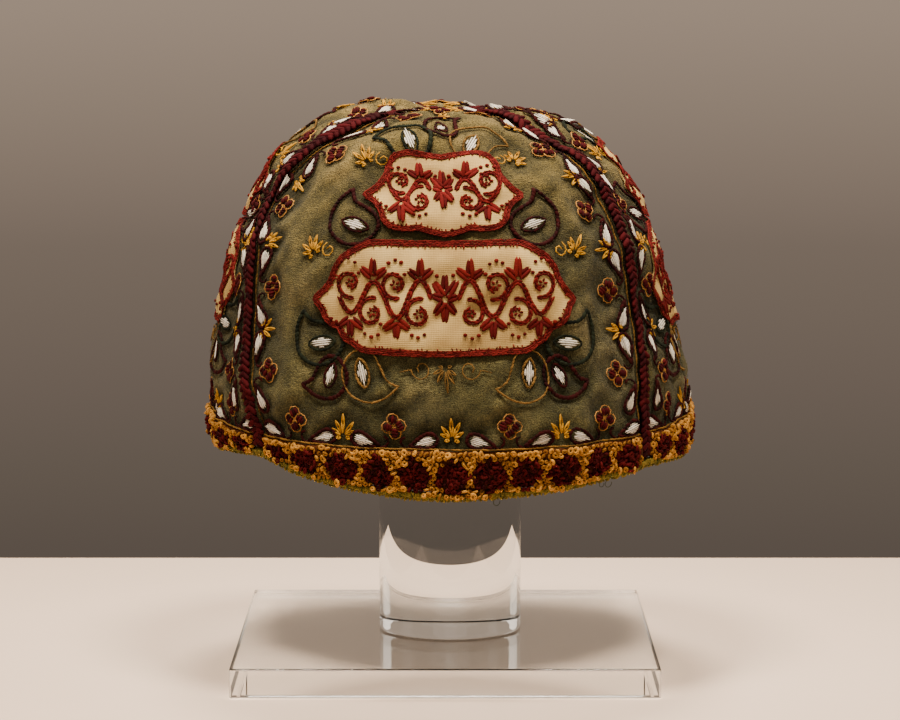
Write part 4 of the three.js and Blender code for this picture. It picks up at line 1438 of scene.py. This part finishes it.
def nap_tree():
    graph, given = start_tree("raise_nap", ("Density", "Float"), ("Seed", "Int"), ("Wool", "Material"))
    add, seed = graph.add, given["Seed"]
    links = {"Mesh": given["Geometry"], "Density": given["Density"], "Seed": seed}
    sown = add("GeometryNodeDistributePointsOnFaces", links).outputs
    fibre = add("GeometryNodeMeshCone", {"Vertices": 3, "Radius Bottom": FIBRE_WIDTH, "Depth": FIBRE_LENGTH})
    low = tuple(-angle for angle in FIBRE_TILT)
    tilt = add("FunctionNodeRandomValue", data_type="FLOAT_VECTOR")
    for key, value in ((0, low), (1, FIBRE_TILT), ("Seed", seed)):
        graph.put(tilt.inputs[key], value)
    turn = add("FunctionNodeEulerToRotation", {"Euler": tilt.outputs[0]}).outputs["Rotation"]
    links = {"Rotation": sown["Rotation"], "Rotate By": turn}
    bent = add("FunctionNodeRotateRotation", links, rotation_space="LOCAL").outputs["Rotation"]
    links = {"Points": sown["Points"], "Instance": fibre.outputs["Mesh"], "Rotation": bent}
    stood = add("GeometryNodeInstanceOnPoints", links).outputs["Instances"]
    return end_tree(graph, stood, given["Wool"])


NAP = nap_tree()

for panel, name in enumerate(SIDES):
    azimuth, up = panel_grid(panel)
    face, _ = over_panel(panel, azimuth, up, 0)
    skin = new_mesh("skin", face * MM, grid_quads(np.arange(up.size).reshape(up.shape)))
    area = sum(polygon.area for polygon in skin.polygons)
    mesh = grown("wool_nap_" + name, skin, NAP, Density=NAP_PER_PANEL / area, Seed=panel + 5, Wool=WOOL)
    new_piece("wool_nap_" + name, mesh, WOOL, "wool")
print("fibres on a panel:", len(mesh.vertices) // 4)

# %% [markdown]
# ## The clear stand
# A solid acrylic rod stands on a square slab. Clear plastic shows only by what it bends and
# reflects, so both are true solids with eased, polished edges, and the shader carries the real
# index of acrylic.

# %% Stand
COLUMN_STEPS = 128
EDGE = 0.7
LARGE_FACE = 2e-4  # square metres
ROUNDING = (0.4, 0.8, 1.2)  # angles of the points on a rounded edge

acrylic = Finish("clear_acrylic", 0.015)
# painted shade: the clear acrylic is tinted grey to stand in for the cap's shadow, which the lamps don't cast
# through it, and for dark reflections
acrylic.set("Base Color", (0.89, 0.895, 0.885, 1))
acrylic.set("Transmission Weight", 1.0)
acrylic.set("IOR", 1.49)


def column_mesh():
    low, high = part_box("stand_column")
    radius = (high[0] - low[0]) / 2 / MM
    bottom, top = low[2] / MM, high[2] / MM
    inner, corner, wide = radius - 3 * EDGE, radius - EDGE, 3 * EDGE
    profile = [(0.02, bottom), (inner, bottom), (corner, bottom)]
    profile += [(corner + EDGE * math.sin(a), bottom + EDGE - EDGE * math.cos(a)) for a in ROUNDING]
    profile += [(radius, bottom + EDGE), (radius, bottom + wide), (radius, top - wide), (radius, top - EDGE)]
    profile += [(corner + EDGE * math.cos(a), top - EDGE + EDGE * math.sin(a)) for a in ROUNDING]
    profile += [(corner, top), (inner, top), (0.02, top)]
    turns = np.arange(COLUMN_STEPS) * 2 * math.pi / COLUMN_STEPS
    rings = [[(r * math.cos(t), r * math.sin(t), z) for t in turns] for r, z in profile]
    return tube_mesh("column", rings, False)


def plate_mesh():
    low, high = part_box("stand_plate")
    block = bmesh.new()
    bmesh.ops.create_cube(block, size=1.0)
    for vertex in block.verts:
        for axis in range(3):
            vertex.co[axis] = high[axis] if vertex.co[axis] > 0 else low[axis]
    bmesh.ops.bevel(block, geom=block.edges[:], offset=EDGE * MM, segments=3, affect="EDGES", profile=0.5)
    mesh = bpy.data.meshes.new("plate")
    block.to_mesh(mesh)
    block.free()
    return mesh


shone_through = bpy.data.collections.new("shone_through")
for node, mesh in (("stand_column", column_mesh()), ("stand_plate", plate_mesh())):
    piece = new_piece(node + "_clear", mesh, acrylic.material, "clear_acrylic")
    if node == "stand_plate":
        mesh.polygons.foreach_set("use_smooth", [face.area < LARGE_FACE for face in mesh.polygons])
    shone_through.objects.link(piece)
    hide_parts(node)

# the clear pieces cast no shadow
for member in shone_through.collection_objects:
    member.light_linking.link_state = "EXCLUDE"
for lamp in scene.objects:
    if lamp.type == "LIGHT":
        lamp.light_linking.blocker_collection = shone_through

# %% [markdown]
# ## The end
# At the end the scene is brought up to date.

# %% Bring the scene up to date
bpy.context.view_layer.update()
